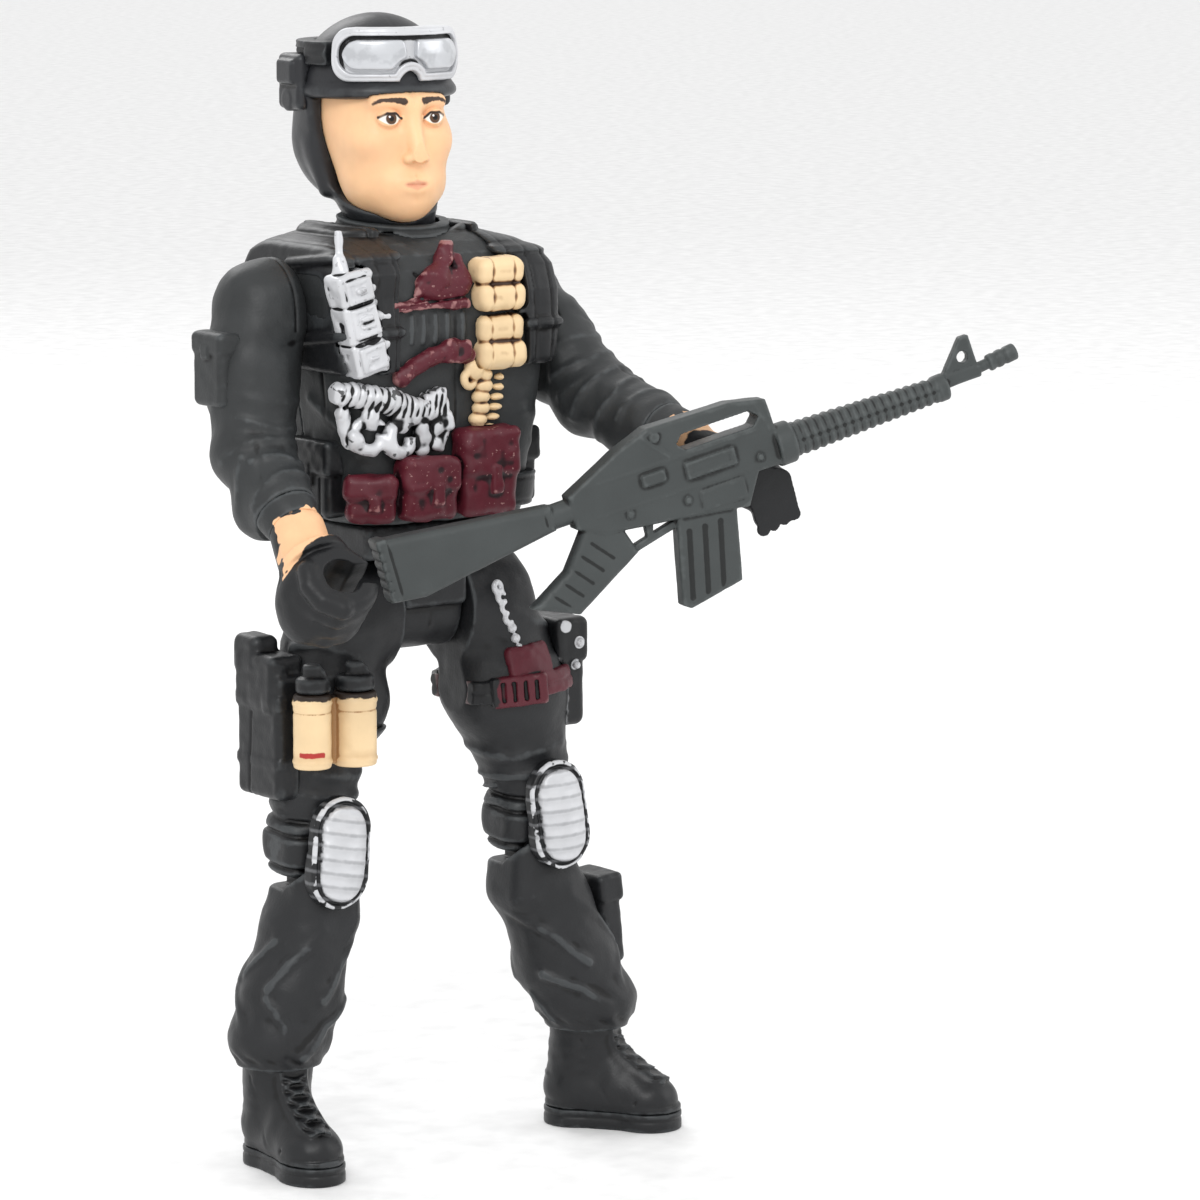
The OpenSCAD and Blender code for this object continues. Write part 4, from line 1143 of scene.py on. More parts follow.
def sleeve_detail(side):
    s, top, elbow, wrist = SIDE[side], SHOULDER_MID[side], ELBOW[side], WRIST[side]
    upper, fore = Limb(top, elbow, 3.75, 3.4), Limb(elbow, wrist, 3.5, 2.9)
    # each: stops of (part of the way along, angle from the front towards +X), width, height
    on_upper = [(((0.1, s * 150), (0.28, s * 70), (0.42, s * 10)), 0.5, 0.22),
                (((0.3, s * 170), (0.5, s * 110), (0.58, s * 40)), 0.45, 0.2),
                (((0.62, -s * 60), (0.7, s * 20), (0.64, s * 80)), 0.42, 0.3),
                (((0.8, -s * 70), (0.88, 0), (0.82, s * 60)), 0.4, 0.34),
                (((0.95, -s * 80), (1.0, 0), (0.96, s * 60)), 0.35, 0.3),
                (((0.15, -s * 60), (0.3, 0), (0.5, s * 15)), 0.4, -0.16),
                (((0.72, s * 100), (0.9, s * 140)), 0.5, 0.25),
                (((0.5, s * 20), (0.62, s * 60), (0.7, s * 120)), 0.3, -0.2)]
    on_fore = [(((0.1, -s * 90), (0.2, 0), (0.12, s * 90)), 0.4, 0.3),
               (((0.3, -s * 120), (0.42, -s * 30), (0.34, s * 50)), 0.42, 0.28),
               (((0.25, s * 60), (0.5, s * 110), (0.62, s * 160)), 0.45, 0.3),
               (((0.55, -s * 60), (0.6, s * 20), (0.7, s * 90)), 0.4, 0.24),
               (((0.45, 150), (0.6, 200)), 0.5, 0.3), (((0.2, s * 30), (0.55, s * 50)), 0.3, -0.2)]

    def detail(p, d):
        d = d + 0.6 * (folds(p, folds(p, d, upper, on_upper), fore, on_fore) - d)
        d = d + 0.16 * bell(s * p[0] - 13.0, 0.16) * (p[2] > 72)
        return d + 0.1 * noise(p, 2.2, 31 + s) + 0.04 * noise(p, 0.9, 33 + s)
    return detail


def sleeve_pocket_field(p):
    d = block(p, (-18.8, -0.3, 69.0), (1.15, 2.3, 3.1), 0.6)
    d = join(d, block(p, (-18.9, -0.3, 71.2), (1.2, 2.45, 1.0), 0.6),
             block(p, (-20.0, -0.3, 70.5), (0.2, 0.6, 0.5), 0.15), k=0.2)
    return cut(d, limb(p, SHOULDER_MID["right"], ELBOW["right"], 3.6, 3.35))


def wrist_field(side):
    elbow, wrist = ELBOW[side], WRIST[side]
    a = cuff_at(side)

    def field(p):
        d = limb(p, a - 0.4 * (wrist - a), wrist + 0.3 * (wrist - a), 2.85, 2.15)
        d = join(d, ball(p, wrist + vec(0.3 * SIDE[side], 0.6, 0.9), 1.6), k=0.8)
        d = cut(d, -beyond(p, a, wrist) - 0.02, beyond(p, wrist, wrist + (wrist - a)))
        return cut(d, rod(p, wrist + unit(a - wrist) * 1.8, wrist - unit(a - wrist), 1.15, 0.02))
    return field


def arm_paint(side):
    """Where the cloth paint has run out, raggedly, and where the glove's paint starts."""
    wrist, elbow = WRIST[side], ELBOW[side]
    out = unit({"right": (-0.8, 0.4, -0.45),
                "left": (0.2, 0.7, -0.7)}[side])  # the side where the cloth paint reaches furthest
    start, glove_at = {"right": (8.8, 13.4), "left": (11.0, 14.0)}[side]

    def paint(p):
        along = -beyond(p, elbow, wrist)
        q = local(p, wrist)
        lean = q[0] * out[0] + q[1] * out[1] + q[2] * out[2]
        ragged = 0.6 * noise(p, 1.2, 41) + 0.4 * noise(p, 0.5, 42)
        return {"bare": np.maximum(start - along, lean - 1.7 - 0.12 * (along - 9)) + ragged,
                "glove": glove_at - along + 0.3 * lean,
                "stud": egg(local(p, BUTT, RIFLE_AXES), (36.2, -0.9, -3.4), (1.2, 1.2, 0.5))}
    return paint


GRIP = unit((-0.12, -0.75, 0.65))
OPEN_FROM = BUTT[0] - 0.4  # the rifle's butt needs all that lies beyond this


def along_grip(t, angle, r):
    """A point round the right hand's grip hole: t along it, the angle from +X upwards."""
    u = vec(1, 0, 0)
    u = unit(u - GRIP * (u @ GRIP))
    v = np.cross(u, GRIP)
    v = v if v[2] > 0 else -v
    a = math.radians(angle)
    return RIGHT_HAND + GRIP * t + r * (math.cos(a) * u + math.sin(a) * v)


def right_glove_field(p):
    wrist, elbow = WRIST["right"], ELBOW["right"]
    d = rod(p, RIGHT_HAND - 3.1 * GRIP, RIGHT_HAND + 3.1 * GRIP, 3.25, 0.9)
    for i in range(4):
        t = 2.35 - 1.58 * i
        d = join(d, path(p, [along_grip(t, a, 2.85 - 0.12 * i) for a in (250, 215, 180, 150)], 0.92), k=0.3)
    d = join(d, path(p, [along_grip(-1.6, 120, 2.6), along_grip(0.4, 100, 3.1), along_grip(2.0, 70, 3.0)],
                     1.15, 0.95), k=0.5)
    down = unit(wrist - elbow)
    d = join(d, limb(p, wrist + down * 0.6, RIGHT_HAND + vec(-1.0, 1.4, 1.2), 2.35, 2.5), k=0.8)
    d = join(d, egg(p, RIGHT_HAND + vec(-2.0, 1.2, -0.6), (2.3, 2.6, 3.4)), k=0.7)
    d = join(d, meet(limb(p, wrist, wrist + 6 * down, 2.75, 3.1),
                     np.abs(beyond(p, wrist + down * 4.1, wrist + down * 9)) - 0.5, k=0.3), k=0.3)
    d = cut(d, rod(p, RIGHT_HAND - 9 * GRIP, RIGHT_HAND + 11 * GRIP, GRIP_R, 0.02))
    d = cut(d, block(p, RIGHT_HAND + vec(3, 0, 0), (3, 0.95, 10), 0.1, turn_x(49)), k=0.2)
    d = cut(d, OPEN_FROM - p[0], beyond(p, wrist, elbow), k=0.1)
    return join(d, rod(p, wrist + unit(elbow - wrist) * 1.6, wrist - unit(elbow - wrist) * 1.5, 1.1, 0.1))


def right_glove_detail(p, d):
    wrist, elbow = WRIST["right"], ELBOW["right"]
    back = unit(wrist - elbow)
    d = bump_line(p, d, [wrist + back * 2 + vec(-2.4, 0.6, 0.8), RIGHT_HAND + vec(-3.9, 1.4, 0),
                         RIGHT_HAND + vec(-3.4, 0.6, -2.6)], 0.2, -0.16)
    return d + 0.07 * noise(p, 1.1, 44)


def on_rifle(x, y, z):
    """A point of the rifle's own frame."""
    return BUTT + RIFLE_AXES @ vec(x, y, z)


def left_glove_field(p):
    q = local(p, BUTT, RIFLE_AXES)
    wrist, elbow = WRIST["left"], ELBOW["left"]
    d = block(q, (35.2, 1.0, -5.7), (2.05, 2.3, 2.4), 1.1)
    for i in range(4):
        x = 33.7 + 1.0 * i
        d = join(d, path(q, [(x, 2.0, -8.0 + 0.15 * i), (x, -0.4, -8.2 + 0.1 * i), (x, -1.5, -6.9),
                             (x, -1.5, -4.6 - 0.1 * i)], 0.58), k=0.12)
    d = join(d, block(q, (34.6, 3.3, -2.7), (2.1, 1.2, 3.4), 0.9),
             limb(q, (33.2, 3.2, -1.4), (35.6, 3.0, 0.3), 0.95, 0.8), k=0.6)
    d = join(d, limb(p, wrist + unit(wrist - elbow) * 0.9, on_rifle(34.2, 3.6, -2.6), 1.7, 2.0),
             rod(p, wrist - unit(elbow - wrist) * 0.08, wrist - unit(elbow - wrist) * 1.2, 2.4, 0.35), k=0.8)
    level = local(p, BUTT, turn_z(-RIFLE_HEADING))
    d = cut(d, block(level, (30, -0.575, 10), (30, 2.425, 30), 0.05))
    d = cut(d, beyond(p, wrist, elbow))
    return join(d, rod(p, wrist + unit(elbow - wrist) * 1.6, wrist - unit(elbow - wrist) * 1.5, 1.1, 0.1))


arm = arm_finish()
for side in ("right", "left"):
    sculpt(f"{side}_sleeve", sleeve_field(side), arm, voxel=0.14, detail=sleeve_detail(side),
           paint=arm_paint(side))
    sculpt(f"{side}_wrist", wrist_field(side), arm, voxel=0.11, detail=fine_noise(43, 0.9, 0.03),
           paint=arm_paint(side))
sculpt("sleeve_pocket", sleeve_pocket_field, cloth, grow=2.5, voxel=0.12, detail=fine_noise(45))
sculpt("right_glove", right_glove_field, arm, voxel=0.12, detail=right_glove_detail, paint=arm_paint("right"))
sculpt("left_glove", left_glove_field, arm, voxel=0.12, detail=fine_noise(46, 0.9, 0.05),
       paint=arm_paint("left"))

# ---- pelvis and thighs ----

HIP_IN, HIP_OUT, HIP_R, HIP_PIN_R = 3.5, 10.3, 4.8, 1.1
HIP_Z = HIP["right"][2]
KNEE_Z = KNEE["right"][2]
KNEE_PIN_R, TONGUE = 0.8, 2.6
KNEE_HALF = 3.9  # the knee's cylinder hides the pin's ends


def pelvis_field(p):
    w = HIP_IN - 0.3
    stem = join(rod(p, (-w, HIP_Y, HIP_Z), (w, HIP_Y, HIP_Z), 3.4, 0.3),
                block(p, (0, HIP_Y, 50.4), (w, 4.3, 2.6), 0.5), k=0.6)
    stem = meet(stem, np.abs(p[0]) - w)
    plate = block(p, (0, HIP_Y, 53.86), (7.9, 5.4, 1.44), 0.5)
    d = join(stem, plate, k=0.1)
    return cut(d, rod(p, (-20, HIP_Y, HIP_Z), (20, HIP_Y, HIP_Z), HIP_PIN_R + 0.05),
               rod(p, (0, HIP_Y, 51), (0, HIP_Y, 61), 2.22, 0.02))


def pelvis_detail(p, d):
    d = bump_line(p, d, [(0, -5.4, 53), (0, -5.3, 50), (0, -4.2, 46)], 0.16, -0.14)
    d = bump_line(p, d, [(-3.2, -5.2, 49.4), (0, -5.4, 50.4), (3.2, -5.2, 52.0)], 0.2, -0.18)
    return d + 0.05 * noise(p, 1.4, 51)


THIGH_MIDDLE = {"right": (vec(-10.3, HIP_Y - 1, HIP_Z - 8), 4.25),
                "left": (vec(9.4, HIP_Y - 1, HIP_Z - 8), 5.0)}  # with its radius


def thigh_solid(p, side, g=0.0):
    s, knee = SIDE[side], KNEE[side]
    mid, r = THIGH_MIDDLE[side]
    top = rod(p, (s * (HIP_IN - 1), HIP_Y, HIP_Z), (s * HIP_OUT, HIP_Y, HIP_Z), HIP_R + g, 1.3)
    d = join(top, limb(p, (s * 7.4, HIP_Y - 0.4, HIP_Z - 1), mid, 4.7 + g, r + g), ball(p, mid, r + 0.1 + g),
             ball(p, (s * 7.6, HIP_Y - 1.4, HIP_Z - 7.2), r - 0.45 + g), k=1.2)
    low = rod(p, knee - vec(KNEE_HALF, 0, 0), knee + vec(KNEE_HALF, 0, 0), 3.05 + g, 1.6)
    return join(d, limb(p, mid, knee + vec(0, 0, 2.4), r + g, 3.5 + g), low, k=0.8)


def thigh_field(side):
    s, knee = SIDE[side], KNEE[side]

    def field(p):
        d = cut(thigh_solid(p, side), s * p[0] - HIP_IN)
        for dz in (2.7, 1.5, -1.45, -2.5):  # cloth gathered beside the knee
            d = d + 0.34 * bell(p[2] - knee[2] - dz - 0.1 * p[1],
                                0.22) * (np.abs(p[0] - knee[0]) > TONGUE / 2 + 0.6)
        return cut(d, block(p, knee, (TONGUE / 2 + 0.1, 6, 3.45), 0.02),
                   rod(p, knee - vec(3.52, 0, 0), knee + vec(3.52, 0, 0), KNEE_PIN_R + 0.05, 0.02),
                   rod(p, (s * (HIP_IN - 2), HIP_Y, HIP_Z), (s * 8.7, HIP_Y, HIP_Z), HIP_PIN_R + 0.05, 0.02))
    return field


def thigh_detail(side):
    s, knee = SIDE[side], KNEE[side]
    mid, r = THIGH_MIDDLE[side]
    upper, lower = Limb((s * 8.0, HIP_Y, HIP_Z), mid, 4.8, r), Limb(mid, knee, r, 3.3)
    on_upper = [(((0.0, -s * 30), (0.3, s * 20), (0.45, s * 80)), 0.5, 0.28),
                (((0.2, -s * 60), (0.55, -s * 10), (0.75, s * 40)), 0.45, 0.24),
                (((0.35, s * 120), (0.5, 180)), 0.5, 0.28), (((0.1, -s * 50), (0.4, -s * 25)), 0.5, -0.12)]
    on_lower = [(((0.35, -s * 110), (0.48, -s * 40), (0.44, s * 30)), 0.5, 0.3),
                (((0.1, s * 150), (0.3, s * 100), (0.5, s * 70)), 0.5, 0.26),
                (((0.58, -s * 120), (0.64, -s * 30), (0.6, s * 60)), 0.36, 0.32)]
    on_lower += [(((t, 75), (t + 0.02, 130), (t, 180), (t + 0.02, 230), (t, 285)), 0.3, 0.38)
                 for t in (0.68, 0.8, 0.92)]

    def detail(p, d):
        away = np.clip((length(*local(p, knee)) - 2.2) / 2.0, 0, 1)  # the joint itself stays plain
        soft = folds(p, folds(p, d, upper, on_upper), lower, on_lower)
        soft = soft + 0.1 * noise(p, 2.3, 53 + s) + 0.04 * noise(p, 0.9, 54)
        return np.maximum(d + (soft - d) * away, -9)
    return detail


def holster_field(p):
    d = block(p, (-14.2, -1.2, 37.6), (1.6, 3.4, 5.4), 0.7)
    d = join(d, block(p, (-14.4, -0.9, 42.4), (1.65, 3.0, 2.2), 0.6),
             block(p, (-14.6, 0.8, 44.3), (1.35, 1.9, 1.7), 0.8), k=0.4)
    d = join(d, block(p, (-15.3, -1.2, 40.6), (0.55, 3.45, 0.7), 0.3),
             block(p, (-15.3, -1.2, 35.4), (0.5, 3.4, 0.45), 0.25),
             block(p, (-15.6, -3.0, 40.6), (0.35, 0.6, 0.9), 0.2), k=0.3)
    d = join(d, limb(p, (-15.0, -3.6, 43.6), (-15.2, -3.9, 38), 0.55, 0.5), k=0.3)
    d = d + 0.14 * bell(p[1] + 0.2 + 0.06 * (p[2] - 38), 0.13) * (p[2] < 39.6)
    return cut(d, thigh_solid(p, "right", GAP))


CANISTERS = ((-13.9, -7.0, 1.62), (-10.0, -7.6, 1.85))  # x, y, radius


def canister_room(p):
    """What the strap leaves free for the canisters."""
    return np.minimum(*[rod(p, (x, y, 35.3), (x, y, 41.9), r + 0.12) for x, y, r in CANISTERS])


def canister_field(p):
    d = block(p, (-12, -6.7, 38.5), (1.3, 0.8, 2.9), 0.3)
    for x, y, r in CANISTERS:
        b = rod(p, (x, y, 35.4), (x, y, 41.78), r, 0.25)
        for z in (36.0, 41.0):
            b = join(b, ring(p, (x, y, z), (0, 0, 1), r - 0.12, 0.22), k=0.1)
        d = np.minimum(d, b + 0.09 * bell(p[2] - 40.2, 0.12))
    return cut(d, thigh_solid(p, "right", GAP), holster_field(p) - 0.03)


def canister_paint(p):
    return {"mark": block(p, (-14.7, -8.3, 36.7), (1.0, 0.9, 0.22), 0.1),
            "shade": np.minimum(np.abs(p[0] + 12.1) - 0.5, np.abs(p[2] - 36.4) - 0.2),
            "smudge": 41.3 - p[2]}


def canister_cap_field(p):
    d = None
    for x, y, r in CANISTERS:
        b = join(rod(p, (x, y, 41.82), (x, y, 43.2), r - 0.2, 0.4),
                 rod(p, (x, y, 43.0), (x, y, 44.3), 0.8, 0.3),
                 limb(p, (x + 0.6, y - 0.6, 43.6), (x + 1.1, y - 0.8, 42.2), 0.3, 0.25), k=0.3)
        d = b if d is None else np.minimum(d, b)
    return cut(d, thigh_solid(p, "right", GAP), holster_field(p) - 0.03)


def right_strap_field(p):
    d = meet(thigh_solid(p, "right", 0.45), np.abs(p[2] - 37) - 0.8, k=0.3)
    d = cut(d, np.minimum(canister_room(p), block(p, (-12, -6.7, 38.5), (1.35, 0.85, 2.95), 0.3)))
    return cut(d, thigh_solid(p, "right", GAP), holster_field(p) - 0.03)


STRAP_AXES = turn_y(-5)


def left_strap_field(p):
    q = local(p, (10, 0, 40.4), STRAP_AXES)
    d = meet(thigh_solid(p, "left", 0.6), np.abs(q[2]) - 1.0, k=0.25)
    d = d + 0.12 * bell(q[2], 0.15)
    d = join(d, meet(thigh_solid(p, "left", 0.55), block(q, (-1.2, -6, 2.3), (2.3, 4, 1.3), 0.6), k=0.4),
             k=0.4)
    b = local(q, (-2.8, -7.1, -0.1), turn_z(-20))
    d = join(d, block(b, (0, 0, 0), (2.5, 0.8, 1.35), 0.3), k=0.1)
    for x in (-1.5, -0.5, 0.5, 1.5):
        d = cut(d, block(b, (x, -0.9, 0), (0.2, 0.4, 0.9), 0.1), k=0.1)
    return cut(d, thigh_solid(p, "left", GAP), thigh_pouch_block(p, 0.04), p[0] - HIP_IN)


def thigh_pouch_block(p, g=0.0):
    return block(p, (14, -2.6, 40.8), (1.7 + g, 3.2 + g, 4.8 + g), 0.8)


def thigh_pouch_field(p):
    d = block(p, (14, -2.6, 39.9), (1.5, 2.95, 3.9), 0.75)
    d = join(d, block(p, (14.05, -2.6, 43.6), (1.68, 3.2, 2.0), 0.6),
             block(p, (15.6, -2.6, 41.4), (0.25, 0.7, 1.2), 0.15), k=0.15)
    d = join(d, ball(p, (14.6, -5.8, 43.4), 0.42), ball(p, (14.3, -5.8, 41.4), 0.36), k=0.1)
    d = d + 0.12 * bell(p[1] + 2.6, 0.14) * (p[2] < 40.4)
    return cut(d, thigh_solid(p, "left", GAP))


def thigh_pouch_paint(p):
    spots = [(14.6, -5.9, 43.4), (14.3, -5.9, 41.4), (13.2, -5.8, 44.9), (15.2, -5.2, 44.6)]
    stud = np.min([ball(p, at, 0.55) for at in spots], axis=0)
    return {"stud": stud}


def chain_field(p):
    d = None
    for i in range(7):
        at = vec(6.0 + 0.28 * i, -5.7 - 0.14 * i, 49.0 - 0.9 * i)
        b = ring(p, at, (0.3, -1, 0.2), 0.42, 0.26) if i < 4 else ball(p, at, 0.42)
        d = b if d is None else join(d, b, k=0.25)
    return cut(d, thigh_solid(p, "left", 0.0) + 0.12, left_strap_field(p) - 0.04)


half_painted = Finish("part painted strap", BLACK, 0.45)
# grooves(DEEP) is painted shade in the hollows; the pale ridges are partly a painted highlight and partly
# dry-brushed paint
half_painted.over(half_painted.border("patch", 0.5, 0.1, 900), BURGUNDY,
                  0.46).grooves(DEEP).edges(linear(150, 120, 120), 0.09, 0.14, 0.4)
half_painted = half_painted.done()
flecks = flecked_finish("flecked gear", BLACK, SILVER, 0.35, 0.08, 0.14)
sculpt("pelvis_block", pelvis_field, trousers, detail=pelvis_detail)
for side in ("right", "left"):
    sculpt(f"{side}_thigh", thigh_field(side), trousers, detail=thigh_detail(side))
sculpt("holster", holster_field, gear, voxel=0.13, detail=fine_noise(55))
sculpt("canisters", canister_field, capped_finish(), grow=1.6, voxel=0.11, detail=fine_noise(56, 0.8, 0.02),
       paint=canister_paint)
sculpt("canister_caps", canister_cap_field, gear, grow=1.6, voxel=0.11)
sculpt("right_thigh_strap", right_strap_field, gear, voxel=0.13)
sculpt("left_thigh_strap", left_strap_field, half_painted, grow=2.5, voxel=0.12,
       detail=fine_noise(57, 0.6, 0.05),
       paint=lambda p: {"patch": np.maximum(5.2 - p[0] + 0.5 * noise(p, 1.4, 59), p[1] + 3)})
sculpt("thigh_pouch", thigh_pouch_field, flecks, voxel=0.12, detail=fine_noise(58), paint=thigh_pouch_paint)
sculpt("hip_chain", chain_field, silver, grow=2.0, voxel=0.09)

# ---- shins and feet ----

BOOT_TOP, SOLE, PEG_FWD, PEG_R, PEG_H = 9.0, 1.6, 2.4, 1.6, 4.0


def calf_middle(side):
    knee, ankle = KNEE[side], ANKLE[side]
    return vec(knee[0] + 0.62 * (ankle[0] - knee[0]), knee[1] + 0.5 * (ankle[1] - knee[1]), 15.2)


def calf_solid(p, side, g=0.0):
    knee, ankle, belly = KNEE[side], ANKLE[side], calf_middle(side)
    top = block(p, (knee[0], knee[1] - 0.2, KNEE_Z - 4.6), (3.35 + g, 3.2 + g, 3.6 + g), 1.8)
    d = join(limb(p, (knee[0], knee[1] - 0.1, KNEE_Z - 6.4), belly, 3.3 + g, 4.2 + g), top,
             egg(p, belly - vec(0.9 * SIDE[side], 0, -4.0), (3.4 + g, 3.7 + g, 4.6 + g)), k=1.4)
    low = ankle + vec(0, 0, 2.4)
    d = join(d, limb(p, belly, low, 4.2 + g, 4.05 + g),
             egg(p, ankle + vec(0, 0, 2.2), (4.3 + g, 4.2 + g, 2.3 + g)), k=1.2)
    return join(d, rod(p, ankle - vec(0, 0, 1), ankle + vec(0, 0, 1.2), 3.6 + g, 0.3), k=0.5)


def calf_field(side):
    knee = KNEE[side]

    def field(p):
        rise = 2.6 * np.clip((knee[1] - 0.4 - p[1]) / 2.4, 0,
                             1)  # the front of the leg reaches up over the joint
        d = meet(calf_solid(p, side), p[2] - (KNEE_Z - 3.75) - rise, k=0.5)
        d = cut(d, rod(p, knee - vec(9, 0, 0), knee + vec(9, 0, 0), 3.42))
        tongue = join(rod(p, knee - vec(TONGUE / 2, 0, 0), knee + vec(TONGUE / 2, 0, 0), 2.9, 0.1),
                      block(p, knee - vec(0, 0, 2.6), (TONGUE / 2, 2.2, 2.6), 0.1))
        d = join(d, tongue)
        return cut(d, rod(p, knee - vec(4, 0, 0), knee + vec(4, 0, 0), KNEE_PIN_R + 0.05), p[2] - BOOT_TOP)
    return field


def calf_detail(side):
    s, knee, ankle, belly = SIDE[side], KNEE[side], ANKLE[side], calf_middle(side)
    upper, lower = Limb(knee - vec(0, 0, 5), belly, 3.3, 4.6), Limb(belly, ankle, 4.6, 4.0)
    on_upper = [(((0.0, -s * 140), (0.2, -s * 80), (0.35, -s * 50)), 0.4, 0.3),
                (((0.25, -s * 70), (0.6, -s * 30), (1.0, -s * 5)), 0.42, 0.42),
                (((0.3, s * 10), (0.7, s * 45), (1.0, s * 60)), 0.42, 0.36),
                (((0.45, -s * 50), (0.8, -s * 12)), 0.5, -0.14),
                (((0.5, 180), (0.8, 140)), 0.5, 0.35), (((0.6, 200), (1.0, 240)), 0.5, 0.35),
                (((0.5, s * 70), (0.9, s * 105)), 0.4, 0.3)]
    on_lower = [(((0.0, -s * 60), (0.35, -s * 20), (0.8, s * 5)), 0.4, 0.42),
                (((0.1, s * 60), (0.4, s * 35), (0.75, s * 28)), 0.38, 0.36),
                (((0.2, -s * 30), (0.5, 0), (0.7, s * 15)), 0.5, -0.14),
                (((0.05, s * 130), (0.5, s * 90), (0.8, s * 70)), 0.45, 0.36),
                (((0.2, 200), (0.7, 220)), 0.45, 0.35), (((0.3, -s * 90), (0.8, -s * 70)), 0.4, 0.34),
                (((0.15, 160), (0.65, 150)), 0.45, 0.32)]

    def detail(p, d):
        below = np.clip((KNEE_Z - 4.4 - p[2]) / 1.5, 0, 1) * np.clip((p[2] - BOOT_TOP - 0.15) / 0.8, 0.15, 1)
        soft = folds(p, folds(p, d, upper, on_upper), lower, on_lower)
        soft = soft + 0.12 * noise(p, 2.2, 61 + s) + 0.05 * noise(p, 0.9, 64)
        around = np.arctan2(p[0] - ankle[0], -(p[1] - ankle[1]))
        hem = 0.09 * np.sin(around * 13 + 3 * p[2]) * bell(p[2] - BOOT_TOP - 0.6, 0.9)
        return d + (soft + hem - d) * below
    return detail


RIB = 2 * math.pi / 1.15


def pad_frame(p, side):
    knee = KNEE[side]
    middle = KNEE_Z + {"right": -0.3, "left": 0.8}[side]
    return local(p, (knee[0], knee[1] - 4.1, middle), turn_y({"right": 4, "left": -9}[side]))


def oval(q, grow=0.0):
    """The pad's outline from the front."""
    return length(q[0], np.maximum(np.abs(q[2]) - 1.9, 0) * 0.97) - (2.9 + grow)


def pad_field(side):
    knee = KNEE[side]

    def field(p):
        q = pad_frame(p, side)
        dome = q[1] + 1.75 - 0.13 * q[0] ** 2 - 0.03 * q[2] ** 2
        plate = meet(oval(q), -(q[1] + 0.75), q[1] - 0.9, k=0.5)
        raised = meet(oval(q, -0.6), -dome, q[1] - 0.9, k=0.5)
        d = join(plate, raised, k=0.15)
        return cut(d, rod(p, knee - vec(6, 0, 0), knee + vec(6, 0, 0), 3.5), calf_solid(p, side, GAP),
                   block(p, (knee[0], knee[1], KNEE_Z + 4), (4.5, 3.75, 4), 0.1))
    return field


def pad_detail(side):
    def detail(p, d):
        q = pad_frame(p, side)
        inside = np.clip(-oval(q, -0.75) / 0.25, 0, 1)
        ribs = 0.07 * np.cos((q[2] + 0.12 * q[0]) * RIB)
        d = d + inside * ribs
        d = d + 0.2 * bell(oval(q, -0.55), 0.14)
        return d + 0.03 * noise(p, 0.6, 66)
    return detail


def pad_paint(side):
    def paint(p):
        q = pad_frame(p, side)
        rib = -np.cos((q[2] + 0.12 * q[0]) * RIB) - 0.75
        return {"dome": oval(q, -0.72), "rim": np.maximum(np.abs(oval(q, -0.16)) - 0.17, q[1] + 0.4),
                "rib": -rib * 0.3}
    return paint


def calf_pouch_field(p):
    q = local(p, (18, -4, 18.4), turn_y(-6))
    d = block(q, (-0.1, 0, -0.4), (1.1, 2.3, 3.7), 0.6)
    d = join(d, block(q, (0, 0, 2.8), (1.28, 2.5, 1.3), 0.5), block(q, (1.2, 0, 1.3), (0.2, 0.6, 0.8), 0.12),
             k=0.15)
    for y in (-1.2, 1.2):
        d = d + 0.13 * bell(q[1] - y, 0.13) * (q[2] < 1.4)
    return cut(d, calf_solid(p, "left", GAP))


def in_boot(p, side):
    """A boot's own frame: its ankle at the origin, its toe towards -Y. The right boot is a little longer."""
    ankle = ANKLE[side]
    q = local(p, (ankle[0], ankle[1], 0), turn_z(TOE_OUT[side]))
    grow = {"right": 0.13, "left": 0.03}[side]
    return [q[0], q[1] + grow * np.clip(-q[1] - PEG_FWD - PEG_R - 0.2, 0, 9), q[2]]


def peg_hole(q):
    return rod(q, (0, -PEG_FWD, -1), (0, -PEG_FWD, PEG_H), PEG_R, 0.02)


def boot_field(side):
    def field(p):
        q = in_boot(p, side)
        shaft = join(limb(q, (0, 0.1, 9.5), (0, 0.7, 4.2), 3.1, 2.75),
                     egg(q, (0, 0.9, 3.2), (2.75, 2.95, 2.6)), k=0.8)
        foot = join(egg(q, (0, -2.4, 3.0), (2.7, 3.4, 2.9)), egg(q, (0, -5.5, 2.6), (2.75, 2.75, 2.05)),
                    k=1.1)
        d = join(shaft, foot, limb(q, (0, -1.6, 6.0), (0, -4.6, 3.4), 2.0, 1.9), k=1.0)
        welt = meet(sole_outline(q, -0.1), np.abs(q[2] - 1.9) - 0.26, k=0.15)
        d = join(d, welt, k=0.2)
        return cut(d, q[2] - SOLE - 0.02, BOOT_TOP - 0.02 - q[2], peg_hole(q))
    return field


